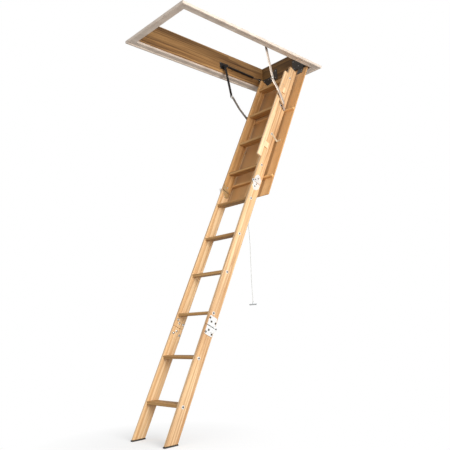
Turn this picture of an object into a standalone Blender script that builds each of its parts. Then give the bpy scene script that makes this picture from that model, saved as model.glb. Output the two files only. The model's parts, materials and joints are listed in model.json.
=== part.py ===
"""Folding wooden attic ladder in its hatch frame: hatch frame and casing, hinged door,
three ladder sections on two pairs of section hinges, folding arms, gas struts and pull cord.

Metres, +Z up, +Y from the hatch towards the header that carries the door hinge, +X to the right
of a person who climbs. The origin is the middle of the hinge-end board's outer face.

Ladder parts are modelled in the tilted frame of the open door: local -Z runs down along the
stiles, local -Y points to the climber. Distances down the stiles are called s and distances
towards the climber n, both from the door hinge's axis.
"""
import math

import bmesh
import bpy
from mathutils import Matrix, Vector

# hatch frame
OPEN_W = 0.515          # clear width between the long boards
OPEN_L = 1.332          # clear length between the end boards
BOARD_T = 0.019
BOARD_H = 0.180
GAP = 0.0003            # between pieces that touch
SHARP_EDGE = math.radians(40)
MERGE_WITHIN = 0.00001
PIN_CLEAR = 0.0005      # round each pin, on the radius
CASING_W = 0.060
CASING_T = 0.014
CASING_BEAD = 0.019     # thickness of the raised outer band
CASING_REVEAL = 0.013   # board edge left showing inside the casing
CASING_BAND_W = 0.013   # width of the raised band
CASING_CHAMFER = 0.002

# door
SLOPE = math.radians(63.0)      # ladder to floor when open
DOOR_SWING = math.radians(57.0)
AXIS_IN = 0.012                 # door hinge axis, in from the hinge-end board
AXIS_UP = 0.012                 # and up from the underside of the boards
DOOR_W = 0.505
DOOR_START = 0.0065
DOOR_END = 1.317
DOOR_T = 0.009
DOOR_FACE_N = -0.002
BATTEN_W = 0.020
BATTEN_S = (0.4875, 1.1575)

# ladder sections
LADDER_HALF_W = 0.170
STILE_T = 0.019
STILE_D = 0.081
STILE_BACK_N = 0.0195
STILE_FRONT_N = STILE_BACK_N + STILE_D
BATTEN_T = STILE_BACK_N - DOOR_FACE_N - 2 * GAP
STILE_TOP_S = 0.070
HINGE_1_S = 1.243
HINGE_2_S = 2.3705
HINGE_OFFSET = 0.004            # section hinge axis, proud of the stile edge it folds over
LEAF_W = 0.076                  # section hinge leaf, from the axis across the stile
JOINT_GAP = 0.001               # each stile end stops this short of the section hinge axis
STEP_FIRST_S = 0.184
STEP_PITCH = 0.300
STEPS_PER_SECTION = (4, 4, 2)
TREAD_D = 0.080
TREAD_T = 0.020
TREAD_HOUSING = 0.005           # depth that a tread is let into each stile
FLOOR_DROP = 2.733              # floor below the underside of the boards
PAD_T = 0.008

# arms, in y and z from the hatch's hinge-end inner bottom edge
ARM_PIVOT = (-0.500, 0.050)
ELBOW = (-0.440, -0.213)
ARM_FOOT_S = 0.495
ARM_FOOT_N = 0.0335
ARM_W = 0.023
ARM_T = 0.003
UPPER_ARM_X = 0.2275
LOWER_ARM_X = 0.2232
ARM_FOOT_X = 0.1765
ARM_CURL = 0.003                # depth of the turned edges that stiffen each arm
ARM_STUD_R = 0.005
ARM_BOLT_R = 0.006
ELBOW_HEAD_R = 0.0075
ELBOW_HEAD_T = 0.003

# gas struts
STRUT_X = 0.243
STRUT_ANCHOR = (-0.045, 0.047)
CRANK_R = 0.035
CRANK_ANGLE = math.radians(15.0)
CRANK_STUD_R = 0.005
CRANK_EAR_R = 0.010
STRUT_STUD_R = 0.004
STRUT_EYE_R = 0.009
CYLINDER_END = 0.025            # from the cylinder's closed end to the crank stud
ROD_INSIDE = 0.060              # length of rod left in the cylinder when the door is open
CYLINDER_R = 0.009
CYLINDER_L = 0.300
ROD_R = 0.004

# pull cord
EYE_S = 1.261
EYE_DROP = 0.012
CORD_D = 0.0032
HANDLE_DROP = 1.928             # handle below the underside of the boards

HINGE_Y = -BOARD_T - AXIS_IN
BOTTOM_Z = -BOARD_H / 2
HINGE_Z = BOTTOM_Z + AXIS_UP
TILT = SLOPE - math.pi / 2
SIDES = (("left", -1), ("right", 1))

COLOURS = {
    "pine": ((0.86, 0.62, 0.36), 0.55, 0.0),
    "plywood": ((0.74, 0.44, 0.19), 0.6, 0.0),
    "frame_wood": ((0.42, 0.28, 0.15), 0.65, 0.0),
    "casing_paint": ((0.60, 0.55, 0.49), 0.5, 0.0),
    "zinc_steel": ((0.78, 0.79, 0.80), 0.35, 1.0),
    "black_steel": ((0.03, 0.03, 0.035), 0.45, 0.4),
    "black_rubber": ((0.02, 0.02, 0.02), 0.85, 0.0),
    "white_cord": ((0.90, 0.90, 0.87), 0.8, 0.0),
    "grey_plastic": ((0.70, 0.71, 0.72), 0.4, 0.0),
}


def collection(name):
    coll = bpy.data.collections.new(name)
    bpy.context.scene.collection.children.link(coll)
    return coll


def clear_scene():
    for obj in list(bpy.data.objects):
        bpy.data.objects.remove(obj)


clear_scene()
PARTS = collection("attic_ladder")
CUTTERS = collection("cutters")


def material(name):
    mat = bpy.data.materials.get(name)
    if mat:
        return mat
    colour, roughness, metallic = COLOURS[name]
    mat = bpy.data.materials.new(name)
    mat.use_nodes = True
    shader = mat.node_tree.nodes["Principled BSDF"]
    shader.inputs["Base Color"].default_value = (*colour, 1)
    shader.inputs["Roughness"].default_value = roughness
    shader.inputs["Metallic"].default_value = metallic
    return mat


def empty(name, location, parent=None, tilt=0.0):
    """A joint axis: the frame that the pieces turning about it are modelled in."""
    obj = bpy.data.objects.new(name, None)
    PARTS.objects.link(obj)
    obj.location = location
    obj.rotation_euler = (tilt, 0, 0)
    obj.parent = parent
    return obj


def add(name, mesh, finish, parent=None, home=None):
    """One object from a mesh; home is PARTS or CUTTERS."""
    obj = bpy.data.objects.new(name, mesh)
    (home or PARTS).objects.link(obj)
    obj.parent = parent
    if finish:
        mesh.materials.append(material(finish))
    if home == CUTTERS:
        obj.hide_render = True
        obj.display_type = "WIRE"
    return obj


def mesh_from(bm, name):
    mesh = bpy.data.meshes.new(name)
    bm.to_mesh(mesh)
    bm.free()
    return mesh


def box_mesh(name, low, high):
    bm = bmesh.new()
    size = [h - l for l, h in zip(low, high)]
    middle = [(h + l) / 2 for l, h in zip(low, high)]
    matrix = Matrix.Translation(middle) @ Matrix.Diagonal((*size, 1))
    bmesh.ops.create_cube(bm, size=1, matrix=matrix)
    return mesh_from(bm, name)


def box(name, low, high, finish, parent=None, round_by=0.0015, home=None):
    obj = add(name, box_mesh(name, low, high), finish, parent, home)
    if round_by:
        bevel(obj, round_by)
    return obj


def bevel(obj, width, segments=1):
    mod = obj.modifiers.new("Bevel", "BEVEL")
    mod.width = width
    mod.segments = segments
    mod.limit_method = "ANGLE"
    mod.angle_limit = SHARP_EDGE


def boolean(obj, other, operation):
    mod = obj.modifiers.new("Boolean", "BOOLEAN")
    mod.operation = operation
    mod.object = other
    mod.solver = "EXACT"


def rod_mesh(name, start, end, radius, sides=20, end_radius=None):
    """A cylinder, or a cone if end_radius is given, between two points."""
    start, end = Vector(start), Vector(end)
    axis = end - start
    turn = axis.to_track_quat("Z", "Y").to_matrix().to_4x4()
    matrix = Matrix.Translation((start + end) / 2) @ turn
    bm = bmesh.new()
    top = radius if end_radius is None else end_radius
    bmesh.ops.create_cone(bm, cap_ends=True, segments=sides, radius1=radius, radius2=top,
                          depth=axis.length, matrix=matrix)
    mesh = mesh_from(bm, name)
    mesh.shade_smooth()
    mesh.set_sharp_from_angle(angle=SHARP_EDGE)
    return mesh


def cutter_rod(name, start, end, radius, parent=None, sides=20):
    return add(name, rod_mesh(name, start, end, radius, sides), None, parent, CUTTERS)


def turned_mesh(name, profile, sides=24):
    """A profile of (radius, height) points, top to bottom, turned about Z."""
    bm = bmesh.new()
    verts = [bm.verts.new((radius, 0, height)) for radius, height in profile]
    for first, second in zip(verts, verts[1:]):
        bm.edges.new((first, second))
    source = add(name + "_profile", mesh_from(bm, name), None)
    mod = source.modifiers.new("Screw", "SCREW")
    mod.steps = sides
    mod.render_steps = sides
    mod.use_merge_vertices = True
    mod.merge_threshold = MERGE_WITHIN
    graph = bpy.context.evaluated_depsgraph_get()
    mesh = bpy.data.meshes.new_from_object(source.evaluated_get(graph))
    bpy.data.objects.remove(source)
    mesh.name = name
    mesh.shade_smooth()
    mesh.set_sharp_from_angle(angle=SHARP_EDGE)
    return mesh


def plate_mesh(name, outline, low, high, axes):
    """A flat outline extruded between low and high along the axis that axes leaves out."""
    curve = bpy.data.curves.new(name, "CURVE")
    curve.dimensions = "2D"
    curve.fill_mode = "BOTH"
    curve.extrude = (high - low) / 2
    spline = curve.splines.new("POLY")
    spline.points.add(len(outline) - 1)
    for point, (u, v) in zip(spline.points, outline):
        point.co = (u, v, 0, 1)
    spline.use_cyclic_u = True
    source = bpy.data.objects.new(name, curve)
    PARTS.objects.link(source)
    graph = bpy.context.evaluated_depsgraph_get()
    mesh = bpy.data.meshes.new_from_object(source.evaluated_get(graph))
    bpy.data.objects.remove(source)
    bpy.data.curves.remove(curve)
    middle = (low + high) / 2
    columns = {
        "XZ": ((1, 0, 0), (0, 0, 1), (0, 1, 0)),
        "YZ": ((0, 1, 0), (0, 0, 1), (1, 0, 0)),
    }
    turn = Matrix(columns[axes]).transposed().to_4x4()
    mesh.transform(turn @ Matrix.Translation((0, 0, middle)))
    bm = bmesh.new()
    bm.from_mesh(mesh)
    bmesh.ops.remove_doubles(bm, verts=bm.verts, dist=MERGE_WITHIN)
    bmesh.ops.recalc_face_normals(bm, faces=bm.faces)
    bm.to_mesh(mesh)
    bm.free()
    return mesh


def arc(centre, radius, start, end, count):
    """Points of an arc in degrees, both ends included."""
    points = []
    for i in range(count + 1):
        angle = math.radians(start + (end - start) * i / count)
        points.append((centre[0] + radius * math.cos(angle), centre[1] + radius * math.sin(angle)))
    return points


# ---------------------------------------------------------------- hatch frame and casing

def hatch_boards():
    half = OPEN_W / 2
    low, high = BOTTOM_Z, -BOTTOM_Z
    far = -BOARD_T - OPEN_L
    for side, sign in SIDES:
        inner, outer = sorted((sign * (half + GAP), sign * (half + BOARD_T)))
        box(f"frame_board_{side}", (inner, far - BOARD_T, low), (outer, 0, high), "frame_wood")
    box("frame_board_hinge_end", (-half, -BOARD_T, low), (half, 0, high), "frame_wood")
    box("frame_board_free_end", (-half, far - BOARD_T, low), (half, far, high), "frame_wood")


def casing_outline():
    """Cross-section from the inner edge outwards: a thin flat, then a raised outer band."""
    band_start, chamfer = CASING_W - CASING_BAND_W, CASING_CHAMFER
    return [(0, 0), (CASING_W, 0), (CASING_W, -CASING_BEAD + chamfer),
            (CASING_W - chamfer, -CASING_BEAD), (band_start, -CASING_BEAD),
            (band_start - 2 * chamfer, -CASING_T), (chamfer, -CASING_T), (0, -CASING_T + chamfer)]


def casing_piece(name, length, centre, turn):
    """A moulding of the casing's section, mitred at both ends, inner edge towards the hatch."""
    reach = length / 2 + CASING_W
    mesh = plate_mesh(name, casing_outline(), -reach, reach, "YZ")
    bm = bmesh.new()
    bm.from_mesh(mesh)
    for sign in (-1, 1):
        cut = (sign * (length / 2 - GAP), 0, 0)
        normal = (sign, -1, 0)
        geom = bm.verts[:] + bm.edges[:] + bm.faces[:]
        bmesh.ops.bisect_plane(bm, geom=geom, plane_co=cut, plane_no=normal, clear_outer=True)
        edges = [edge for edge in bm.edges if edge.is_boundary]
        bmesh.ops.holes_fill(bm, edges=edges)
    bm.to_mesh(mesh)
    bm.free()
    obj = add(name, mesh, "casing_paint")
    obj.location = (*centre, BOTTOM_Z - GAP)
    obj.rotation_euler = (0, 0, turn)


def casing():
    inner_w = OPEN_W + 2 * CASING_REVEAL
    inner_l = OPEN_L + 2 * CASING_REVEAL
    mid_y = -BOARD_T - OPEN_L / 2
    casing_piece("trim_hinge_end", inner_w, (0, mid_y + inner_l / 2), 0)
    casing_piece("trim_free_end", inner_w, (0, mid_y - inner_l / 2), math.pi)
    casing_piece("trim_left", inner_l, (-inner_w / 2, mid_y), math.pi / 2)
    casing_piece("trim_right", inner_l, (inner_w / 2, mid_y), -math.pi / 2)


# ---------------------------------------------------------------- door

def door_panel(axis):
    half = DOOR_W / 2
    box("door_panel", (-half, -DOOR_FACE_N, -DOOR_END),
        (half, -DOOR_FACE_N + DOOR_T, -DOOR_START), "plywood", axis)
    for name, s in zip(("upper", "lower"), BATTEN_S):
        box(f"door_batten_{name}", (-half, -DOOR_FACE_N - GAP - BATTEN_T, -s - BATTEN_W / 2),
            (half, -DOOR_FACE_N - GAP, -s + BATTEN_W / 2), "plywood", axis, 0.001)


def hatch_hinge(side, sign, axis):
    """Steel hinge in the corner: a bracket on the end board that also carries the strut's stud,
    and a leaf on the door, with interleaved knuckles on the hinge pin."""
    wall_x = OPEN_W / 2 - GAP
    plate_t, leaf_t, knuckle_r, pin_r = 0.003, 0.0025, 0.005, 0.0022
    axis_y, axis_z = HINGE_Y, HINGE_Z
    leaf_start, mid_x, knuckle_end = 0.154, 0.180, 0.210
    back_y = -BOARD_T - GAP

    def span(a, b):
        return sorted((sign * a, sign * b))

    outline = [(0.086, 0.010), (wall_x, 0.010), (wall_x, 0.056),
               (0.170, 0.056), (0.110, 0.106), (0.086, 0.106)]
    outline = [(sign * x, z + HINGE_Z) for x, z in outline]
    mesh = plate_mesh(f"hatch_hinge_bracket_{side}", outline, back_y - plate_t, back_y, "XZ")
    bracket = add(mesh.name, mesh, "black_steel")
    low_x, high_x = span(wall_x - plate_t, wall_x)
    flank = box(f"flank_{side}", (low_x, back_y - 0.060, HINGE_Z + 0.012),
                (high_x, back_y - 0.001, HINGE_Z + 0.060), None, None, 0, CUTTERS)
    low_x, high_x = span(mid_x + GAP, knuckle_end)
    web = box(f"bracket_web_{side}", (low_x, axis_y - 0.001, axis_z + 0.001),
              (high_x, back_y - 0.0005, axis_z + 0.014), None, None, 0, CUTTERS)
    knuckle = cutter_rod(f"bracket_knuckle_{side}", (sign * (mid_x + GAP), axis_y, axis_z),
                         (sign * knuckle_end, axis_y, axis_z), knuckle_r)
    pin = cutter_rod(f"hinge_pin_{side}", (sign * leaf_start, axis_y, axis_z),
                     (sign * (mid_x + 0.002), axis_y, axis_z), pin_r, None, 12)
    stud_y, stud_z = STRUT_ANCHOR[0] - BOARD_T, BOTTOM_Z + STRUT_ANCHOR[1]
    stud = cutter_rod(f"strut_stud_{side}", (sign * (wall_x - plate_t / 2), stud_y, stud_z),
                      (sign * (STRUT_X - 0.006), stud_y, stud_z), STRUT_STUD_R, None, 16)
    for other in (flank, web, knuckle, pin, stud):
        boolean(bracket, other, "UNION")

    low_x, high_x = span(leaf_start, knuckle_end)
    leaf_n = DOOR_FACE_N + GAP
    leaf = box(f"hatch_hinge_leaf_{side}", (low_x, -leaf_n - leaf_t, -0.062),
               (high_x, -leaf_n, -0.0075), "black_steel", axis, 0)
    low_x, high_x = span(leaf_start, mid_x)
    tongue = box(f"leaf_tongue_{side}", (low_x, -leaf_n - leaf_t, -0.008),
                 (high_x, -leaf_n, 0.0), None, axis, 0, CUTTERS)
    barrel = cutter_rod(f"leaf_knuckle_{side}", (sign * leaf_start, 0, 0),
                        (sign * mid_x, 0, 0), knuckle_r, axis)
    hole = cutter_rod(f"leaf_hole_{side}", (sign * (leaf_start - 0.004), 0, 0),
                      (sign * (mid_x + 0.01), 0, 0), pin_r + PIN_CLEAR, axis, 12)
    boolean(leaf, tongue, "UNION")
    boolean(leaf, barrel, "UNION")
    boolean(leaf, hole, "DIFFERENCE")


def stile_bracket(side, sign, axis):
    """Slanted angle strap from a stile's outer face to the door."""
    s_top, s_foot, width, steel = 0.772, 0.797, 0.018, 0.0025
    face = LADDER_HALF_W + GAP
    base_n = DOOR_FACE_N + GAP
    low, high = sorted((sign * face, sign * (face + steel)))
    top_y, bend_y, half = -0.074, -0.020, width / 2
    outline = [(top_y, -s_top - half), (bend_y + 0.002, -s_foot - half), (-base_n, -s_foot - half),
               (-base_n, -s_foot + half), (bend_y - 0.002, -s_foot + half), (top_y, -s_top + half)]
    name = f"stile_bracket_{side}"
    strap = add(name, plate_mesh(name, outline, low, high, "YZ"), "zinc_steel", axis)
    low, high = sorted((sign * (face + steel / 2), sign * (face + 0.034)))
    foot = box(f"bracket_foot_{side}", (low, -base_n - steel, -s_foot - width / 2),
               (high, -base_n, -s_foot + width / 2), None, axis, 0, CUTTERS)
    boolean(strap, foot, "UNION")


def cord_eye(axis):
    """Screw eye in the door's room side: a ring with a short shank."""
    back_y = -DOOR_FACE_N + DOOR_T + GAP
    ring_r, wire_r = 0.0075, 0.0017
    mesh = bpy.data.meshes.new("cord_eye")
    bm = bmesh.new()
    ring, tube = 20, 8
    grid = []
    for i in range(ring):
        around = 2 * math.pi * i / ring
        row = []
        for j in range(tube):
            turn = 2 * math.pi * j / tube
            reach = ring_r + wire_r * math.cos(turn)
            row.append(bm.verts.new((wire_r * math.sin(turn), reach * math.cos(around),
                                     reach * math.sin(around))))
        grid.append(row)
    for i in range(ring):
        for j in range(tube):
            ahead, beside = (i + 1) % ring, (j + 1) % tube
            bm.faces.new((grid[i][j], grid[ahead][j], grid[ahead][beside], grid[i][beside]))
    bmesh.ops.recalc_face_normals(bm, faces=bm.faces)
    bm.to_mesh(mesh)
    bm.free()
    mesh.shade_smooth()
    eye = add("cord_eye", mesh, "zinc_steel", axis)
    eye.location = (0, back_y + EYE_DROP, -EYE_S)
    shank = cutter_rod("eye_shank", (0, -EYE_DROP, 0), (0, -ring_r, 0), 0.0026, eye, 14)
    boolean(eye, shank, "UNION")


# ---------------------------------------------------------------- ladder sections

def tread_outline(grow=0.0):
    """Level tread in the tilted frame, from its front top edge, with grooves for grip on top."""
    run = (math.sin(SLOPE), math.cos(SLOPE))        # towards the door, along the level tread
    drop = (math.cos(SLOPE), -math.sin(SLOPE))      # straight down

    def at(back, down):
        return (run[0] * back + drop[0] * down, run[1] * back + drop[1] * down)

    if grow:
        return [at(-grow, -grow), at(TREAD_D + grow, -grow), at(TREAD_D + grow, TREAD_T + grow),
                at(-grow, TREAD_T + grow)]
    nose, back_round, groove_half, groove_deep = 0.004, 0.002, 0.0015, 0.0015
    points = [at(*p) for p in arc((nose, nose), nose, 180, 270, 3)]
    for groove in (0.018, 0.030, 0.042, 0.054):
        points += [at(groove - groove_half, 0), at(groove, groove_deep), at(groove + groove_half, 0)]
    back = TREAD_D - back_round
    points += [at(*p) for p in arc((back, back_round), back_round, 270, 360, 2)]
    points += [at(*p) for p in arc((back, TREAD_T - back_round), back_round, 0, 90, 2)]
    points += [at(*p) for p in arc((nose, TREAD_T - nose), nose, 90, 180, 3)]
    return points


def tread_places(section):
    """Local z of each tread's front top edge, measured from the door hinge axis."""
    before = sum(STEPS_PER_SECTION[:section])
    return [-(STEP_FIRST_S + (before + i) * STEP_PITCH) for i in range(STEPS_PER_SECTION[section])]


def stile(name, side_sign, section, top, bottom, parent, origin, level_foot=False):
    """One side rail, with a shallow housing for each tread and, at the foot, a level cut."""
    inner = LADDER_HALF_W - STILE_T
    low_x, high_x = sorted((side_sign * inner, side_sign * LADDER_HALF_W))
    extra = STILE_D if level_foot else 0
    mesh = box_mesh(name, (low_x, -STILE_FRONT_N, bottom - extra), (high_x, -STILE_BACK_N, top))
    if level_foot:
        bm = bmesh.new()
        bm.from_mesh(mesh)
        floor_z = BOTTOM_Z - FLOOR_DROP + PAD_T + GAP - HINGE_Z
        normal = Matrix.Rotation(-TILT, 3, "X") @ Vector((0, 0, -1))
        point = Matrix.Rotation(-TILT, 3, "X") @ Vector((0, 0, floor_z))
        geom = bm.verts[:] + bm.edges[:] + bm.faces[:]
        bmesh.ops.bisect_plane(bm, geom=geom, plane_co=point, plane_no=normal, clear_outer=True)
        bmesh.ops.holes_fill(bm, edges=[edge for edge in bm.edges if edge.is_boundary])
        bm.to_mesh(mesh)
        bm.free()
    mesh.transform(Matrix.Translation(-Vector(origin)))
    obj = add(name, mesh, "pine", parent)
    bevel(obj, 0.002, 2)
    reach = inner + TREAD_HOUSING + GAP
    for number, z in enumerate(tread_places(section), 1):
        low_x, high_x = sorted((side_sign * (inner - 0.01), side_sign * reach))
        outline = [(u - STILE_FRONT_N, v + z) for u, v in tread_outline(GAP)]
        housing = plate_mesh(f"{name}_housing_{number}", outline, low_x, high_x, "YZ")
        housing.transform(Matrix.Translation(-Vector(origin)))
        boolean(obj, add(f"{name}_housing_{number}", housing, None, parent, CUTTERS), "DIFFERENCE")
    return obj


def treads(section_name, section, parent, origin):
    half = LADDER_HALF_W - STILE_T + TREAD_HOUSING
    for number, z in enumerate(tread_places(section), 1):
        name = f"{section_name}_step_{number}"
        outline = [(u - STILE_FRONT_N, v + z) for u, v in tread_outline()]
        mesh = plate_mesh(name, outline, -half, half, "YZ")
        mesh.transform(Matrix.Translation(-Vector(origin)))
        add(name, mesh, "pine", parent)


def hinge_leaf_outline(sign_z, square, width, length, clear):
    """Leaf of a section hinge beside its axis at the outline's origin: local y runs into the
    stile and local z away from the joint. The far end is square or comes to a blunt tip."""
    near, far = sign_z * clear, sign_z * length
    nip = sign_z * 0.006
    if square:
        return [(0.0105, near), (width, near), (width, far - nip), (width - 0.006, far), (0.0165, far),
                (0.0105, far - nip)]
    shoulder = sign_z * length * 0.55
    tip = width * 0.5
    return [(0.0105, near), (width, near), (width, shoulder), (tip + 0.014, far - nip), (tip, far),
            (tip - 0.014, far - nip), (0.0105, shoulder)]


def section_hinge(name, side, sign, fold_sign, upper_parent, lower_parent, upper_origin, square):
    """Two leaves on the stiles' outer faces. fold_sign is -1 where the axis is proud of the front
    edge and 1 where it is proud of the back edge. The lower leaf carries the pin."""
    steel, lug_r, pin_r = 0.0025, 0.009, 0.003
    upper_l, lower_l = (0.066, 0.060) if square else (0.070, 0.066)
    face = LADDER_HALF_W + GAP
    second = face + steel + GAP
    inner_face, outer_face = face, second + steel

    def flat(outline, low, high, label, parent, offset, finish=None, home=CUTTERS):
        points = [(-fold_sign * u, v) for u, v in outline]
        low_x, high_x = sorted((sign * low, sign * high))
        mesh = plate_mesh(label, points, low_x, high_x, "YZ")
        mesh.transform(Matrix.Translation(offset))
        return add(label, mesh, finish, parent, home)

    def at_axis(x):
        return (sign * x, 0, 0)

    # upper leaf, in the upper section's frame
    offset = upper_origin
    outline = hinge_leaf_outline(1, square, LEAF_W, upper_l, 0.0025)
    leaf = flat(outline, face, face + steel, f"{name}_upper_leaf_{side}", upper_parent, offset,
                "zinc_steel", PARTS)
    lug = rod_mesh(f"{name}_upper_lug_{side}", at_axis(face), at_axis(face + steel), lug_r)
    lug.transform(Matrix.Translation(offset))
    neck = flat([(-0.002, 0.001), (0.020, 0.001), (0.020, 0.018), (0.004, 0.012)], face, face + steel,
                f"{name}_upper_neck_{side}", upper_parent, offset)
    hole = rod_mesh(f"{name}_upper_hole_{side}", at_axis(face - 0.01), at_axis(face + 0.01),
                    pin_r + PIN_CLEAR)
    hole.transform(Matrix.Translation(offset))
    boolean(leaf, add(lug.name, lug, None, upper_parent, CUTTERS), "UNION")
    boolean(leaf, neck, "UNION")
    boolean(leaf, add(hole.name, hole, None, upper_parent, CUTTERS), "DIFFERENCE")

    # lower leaf, in the lower section's frame, whose origin is the axis
    zero = (0, 0, 0)
    outline = hinge_leaf_outline(-1, square, LEAF_W, lower_l, 0.0025)
    leaf = flat(outline, face, face + steel, f"{name}_lower_leaf_{side}", lower_parent, zero,
                "zinc_steel", PARTS)
    strap = flat([(-0.002, 0.0), (-0.002, -0.008), (0.014, -0.034), (0.034, -0.034), (0.034, -0.014)],
                 second, outer_face, f"{name}_strap_{side}", lower_parent, zero)
    riser = flat([(0.016, -0.033), (0.033, -0.033), (0.033, -0.016), (0.016, -0.016)],
                 face + steel / 2, second + steel / 2, f"{name}_riser_{side}", lower_parent, zero)
    lug = cutter_rod(f"{name}_lower_lug_{side}", at_axis(second), at_axis(outer_face), lug_r, lower_parent)
    pin = cutter_rod(f"{name}_pin_{side}", at_axis(inner_face), at_axis(outer_face + 0.0015), pin_r,
                     lower_parent)
    for other in (riser, strap, lug, pin):
        boolean(leaf, other, "UNION")


def foot_pad(side, sign, parent, origin_world):
    """Rubber pad under the level cut of a stile, modelled in the world's directions."""
    low_z = BOTTOM_Z - FLOOR_DROP
    slant = Matrix.Rotation(TILT, 3, "X")
    floor_local = (low_z + PAD_T - HINGE_Z)
    ends = []
    for n in (STILE_FRONT_N, STILE_BACK_N):
        s = (n * math.cos(SLOPE) - floor_local) / math.sin(SLOPE)
        ends.append(HINGE_Y + (slant @ Vector((0, -n, -s))).y)
    inner = LADDER_HALF_W - STILE_T
    low_x, high_x = sorted((sign * (inner - 0.001), sign * (LADDER_HALF_W + 0.001)))
    pad = box(f"foot_pad_{side}", (low_x, ends[0] - 0.004, low_z), (high_x, ends[1] + 0.002, low_z + PAD_T),
              "black_rubber", None, 0.001)
    pad.data.transform(Matrix.Translation(-Vector(origin_world)))
    pad.data.transform(Matrix.Rotation(-TILT, 4, "X"))
    pad.parent = parent


def handrail(axis):
    """Rail on two blocks outside the right stile, far enough out to clear the folded sections."""
    face = LADDER_HALF_W + GAP
    block_t, rail_t, rail_w = 0.0095, 0.019, 0.038
    rail_back_n = STILE_FRONT_N + 0.021
    rail_x = face + block_t + GAP
    rail = box("handrail", (rail_x, -rail_back_n - rail_w, -1.046),
               (rail_x + rail_t, -rail_back_n, -0.186), "pine", axis, 0)
    bevel(rail, 0.004, 3)
    for name, s in (("upper", 0.340), ("lower", 0.905)):
        box(f"handrail_block_{name}", (face, -rail_back_n - 0.030, -s - 0.025),
            (face + block_t, -STILE_FRONT_N + 0.028, -s + 0.025), "pine", axis, 0.0015)


def ladder(axis):
    """Three sections; the second folds over the front of the first, the third behind the second."""
    axis_origin = Vector((0, HINGE_Y, HINGE_Z))
    turn = Matrix.Rotation(TILT, 3, "X")
    pivot_1 = Vector((0, -STILE_FRONT_N - HINGE_OFFSET, -HINGE_1_S))
    pivot_2 = Vector((0, -STILE_BACK_N + HINGE_OFFSET, -HINGE_2_S))
    middle = empty("middle_axis", pivot_1, axis)
    lower = empty("lower_axis", pivot_2 - pivot_1, middle)
    for side, sign in SIDES:
        stile(f"upper_stile_{side}", sign, 0, -STILE_TOP_S, -HINGE_1_S + JOINT_GAP, axis, (0, 0, 0))
        stile(f"middle_stile_{side}", sign, 1, -HINGE_1_S - JOINT_GAP, -HINGE_2_S + JOINT_GAP,
              middle, pivot_1)
        stile(f"lower_stile_{side}", sign, 2, -HINGE_2_S - JOINT_GAP, -3.10, lower, pivot_2, True)
        section_hinge("front_hinge", side, sign, -1, axis, middle, pivot_1, False)
        section_hinge("rear_hinge", side, sign, 1, middle, lower, pivot_2 - pivot_1, True)
        foot_pad(side, sign, lower, axis_origin + turn @ pivot_2)
    treads("upper", 0, axis, (0, 0, 0))
    treads("middle", 1, middle, pivot_1)
    treads("lower", 2, lower, pivot_2)


# ---------------------------------------------------------------- arms and struts

def strap_mesh(name, length, offset_at):
    """Arm strap along local +Y in the YZ plane with round ends and turned edges; offset_at gives
    its local x along it."""
    radius = ARM_W / 2
    ends = [radius * (1 - math.cos(math.radians(a))) for a in (0, 30, 60, 90)]
    body = 12
    inner = [radius + (length - 2 * radius) * i / body for i in range(1, body)]
    stations = ends + inner + [length - u for u in reversed(ends)]
    across = (-1.0, -0.72, 0.72, 1.0)
    bm = bmesh.new()
    bmesh.ops.create_grid(bm, x_segments=len(stations) - 1, y_segments=len(across) - 1, size=1)
    grid_x = sorted({round(vert.co.x, 5) for vert in bm.verts})
    grid_y = sorted({round(vert.co.y, 5) for vert in bm.verts})
    for vert in bm.verts:
        i = grid_x.index(round(vert.co.x, 5))
        j = grid_y.index(round(vert.co.y, 5))
        u = stations[i]
        near_end = min(u, length - u)
        short = max(0, radius - near_end)
        half = math.sqrt(max(0, radius ** 2 - short ** 2))
        curled = 0 if 0 < j < 3 else ARM_CURL
        lift = min(1, max(0, (near_end - radius) / radius))
        vert.co = (offset_at(u) - curled * lift * 0.9, u - radius, across[j] * half)
    bmesh.ops.remove_doubles(bm, verts=bm.verts, dist=MERGE_WITHIN)
    return mesh_from(bm, name)


def solid_strap(name, mesh, finish, parent, angle, sign):
    """Turn the strap so that its local +Y points along angle in the YZ plane, and thicken it."""
    mesh.transform(Matrix.Rotation(angle, 4, "X"))
    if sign < 0:
        mesh.transform(Matrix.Diagonal((-1, 1, 1, 1)))
    bm = bmesh.new()
    bm.from_mesh(mesh)
    bmesh.ops.recalc_face_normals(bm, faces=bm.faces)
    total = sum((face.normal.x * face.calc_area() for face in bm.faces))
    if total * sign < 0:
        bmesh.ops.reverse_faces(bm, faces=bm.faces)
    bm.to_mesh(mesh)
    bm.free()
    obj = add(name, mesh, finish, parent)
    mod = obj.modifiers.new("Solidify", "SOLIDIFY")
    mod.thickness = ARM_T
    mod.offset = 1
    return obj


def arms(axis):
    """Two links a side. Each turns on its own end; their shared elbow is the open pivot."""
    for side, sign in SIDES:
        finish = "black_steel" if side == "left" else "zinc_steel"
        upper_arm(side, sign, finish)
        lower_arm(side, sign, finish, axis)
        arm_bracket(side, sign)
        gas_strut(side, sign)


def world_yz(point):
    """Hatch coordinates (y and z from the hinge-end inner bottom edge) to the part's frame."""
    return Vector((0, point[0] - BOARD_T, point[1] + BOTTOM_Z))


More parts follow.
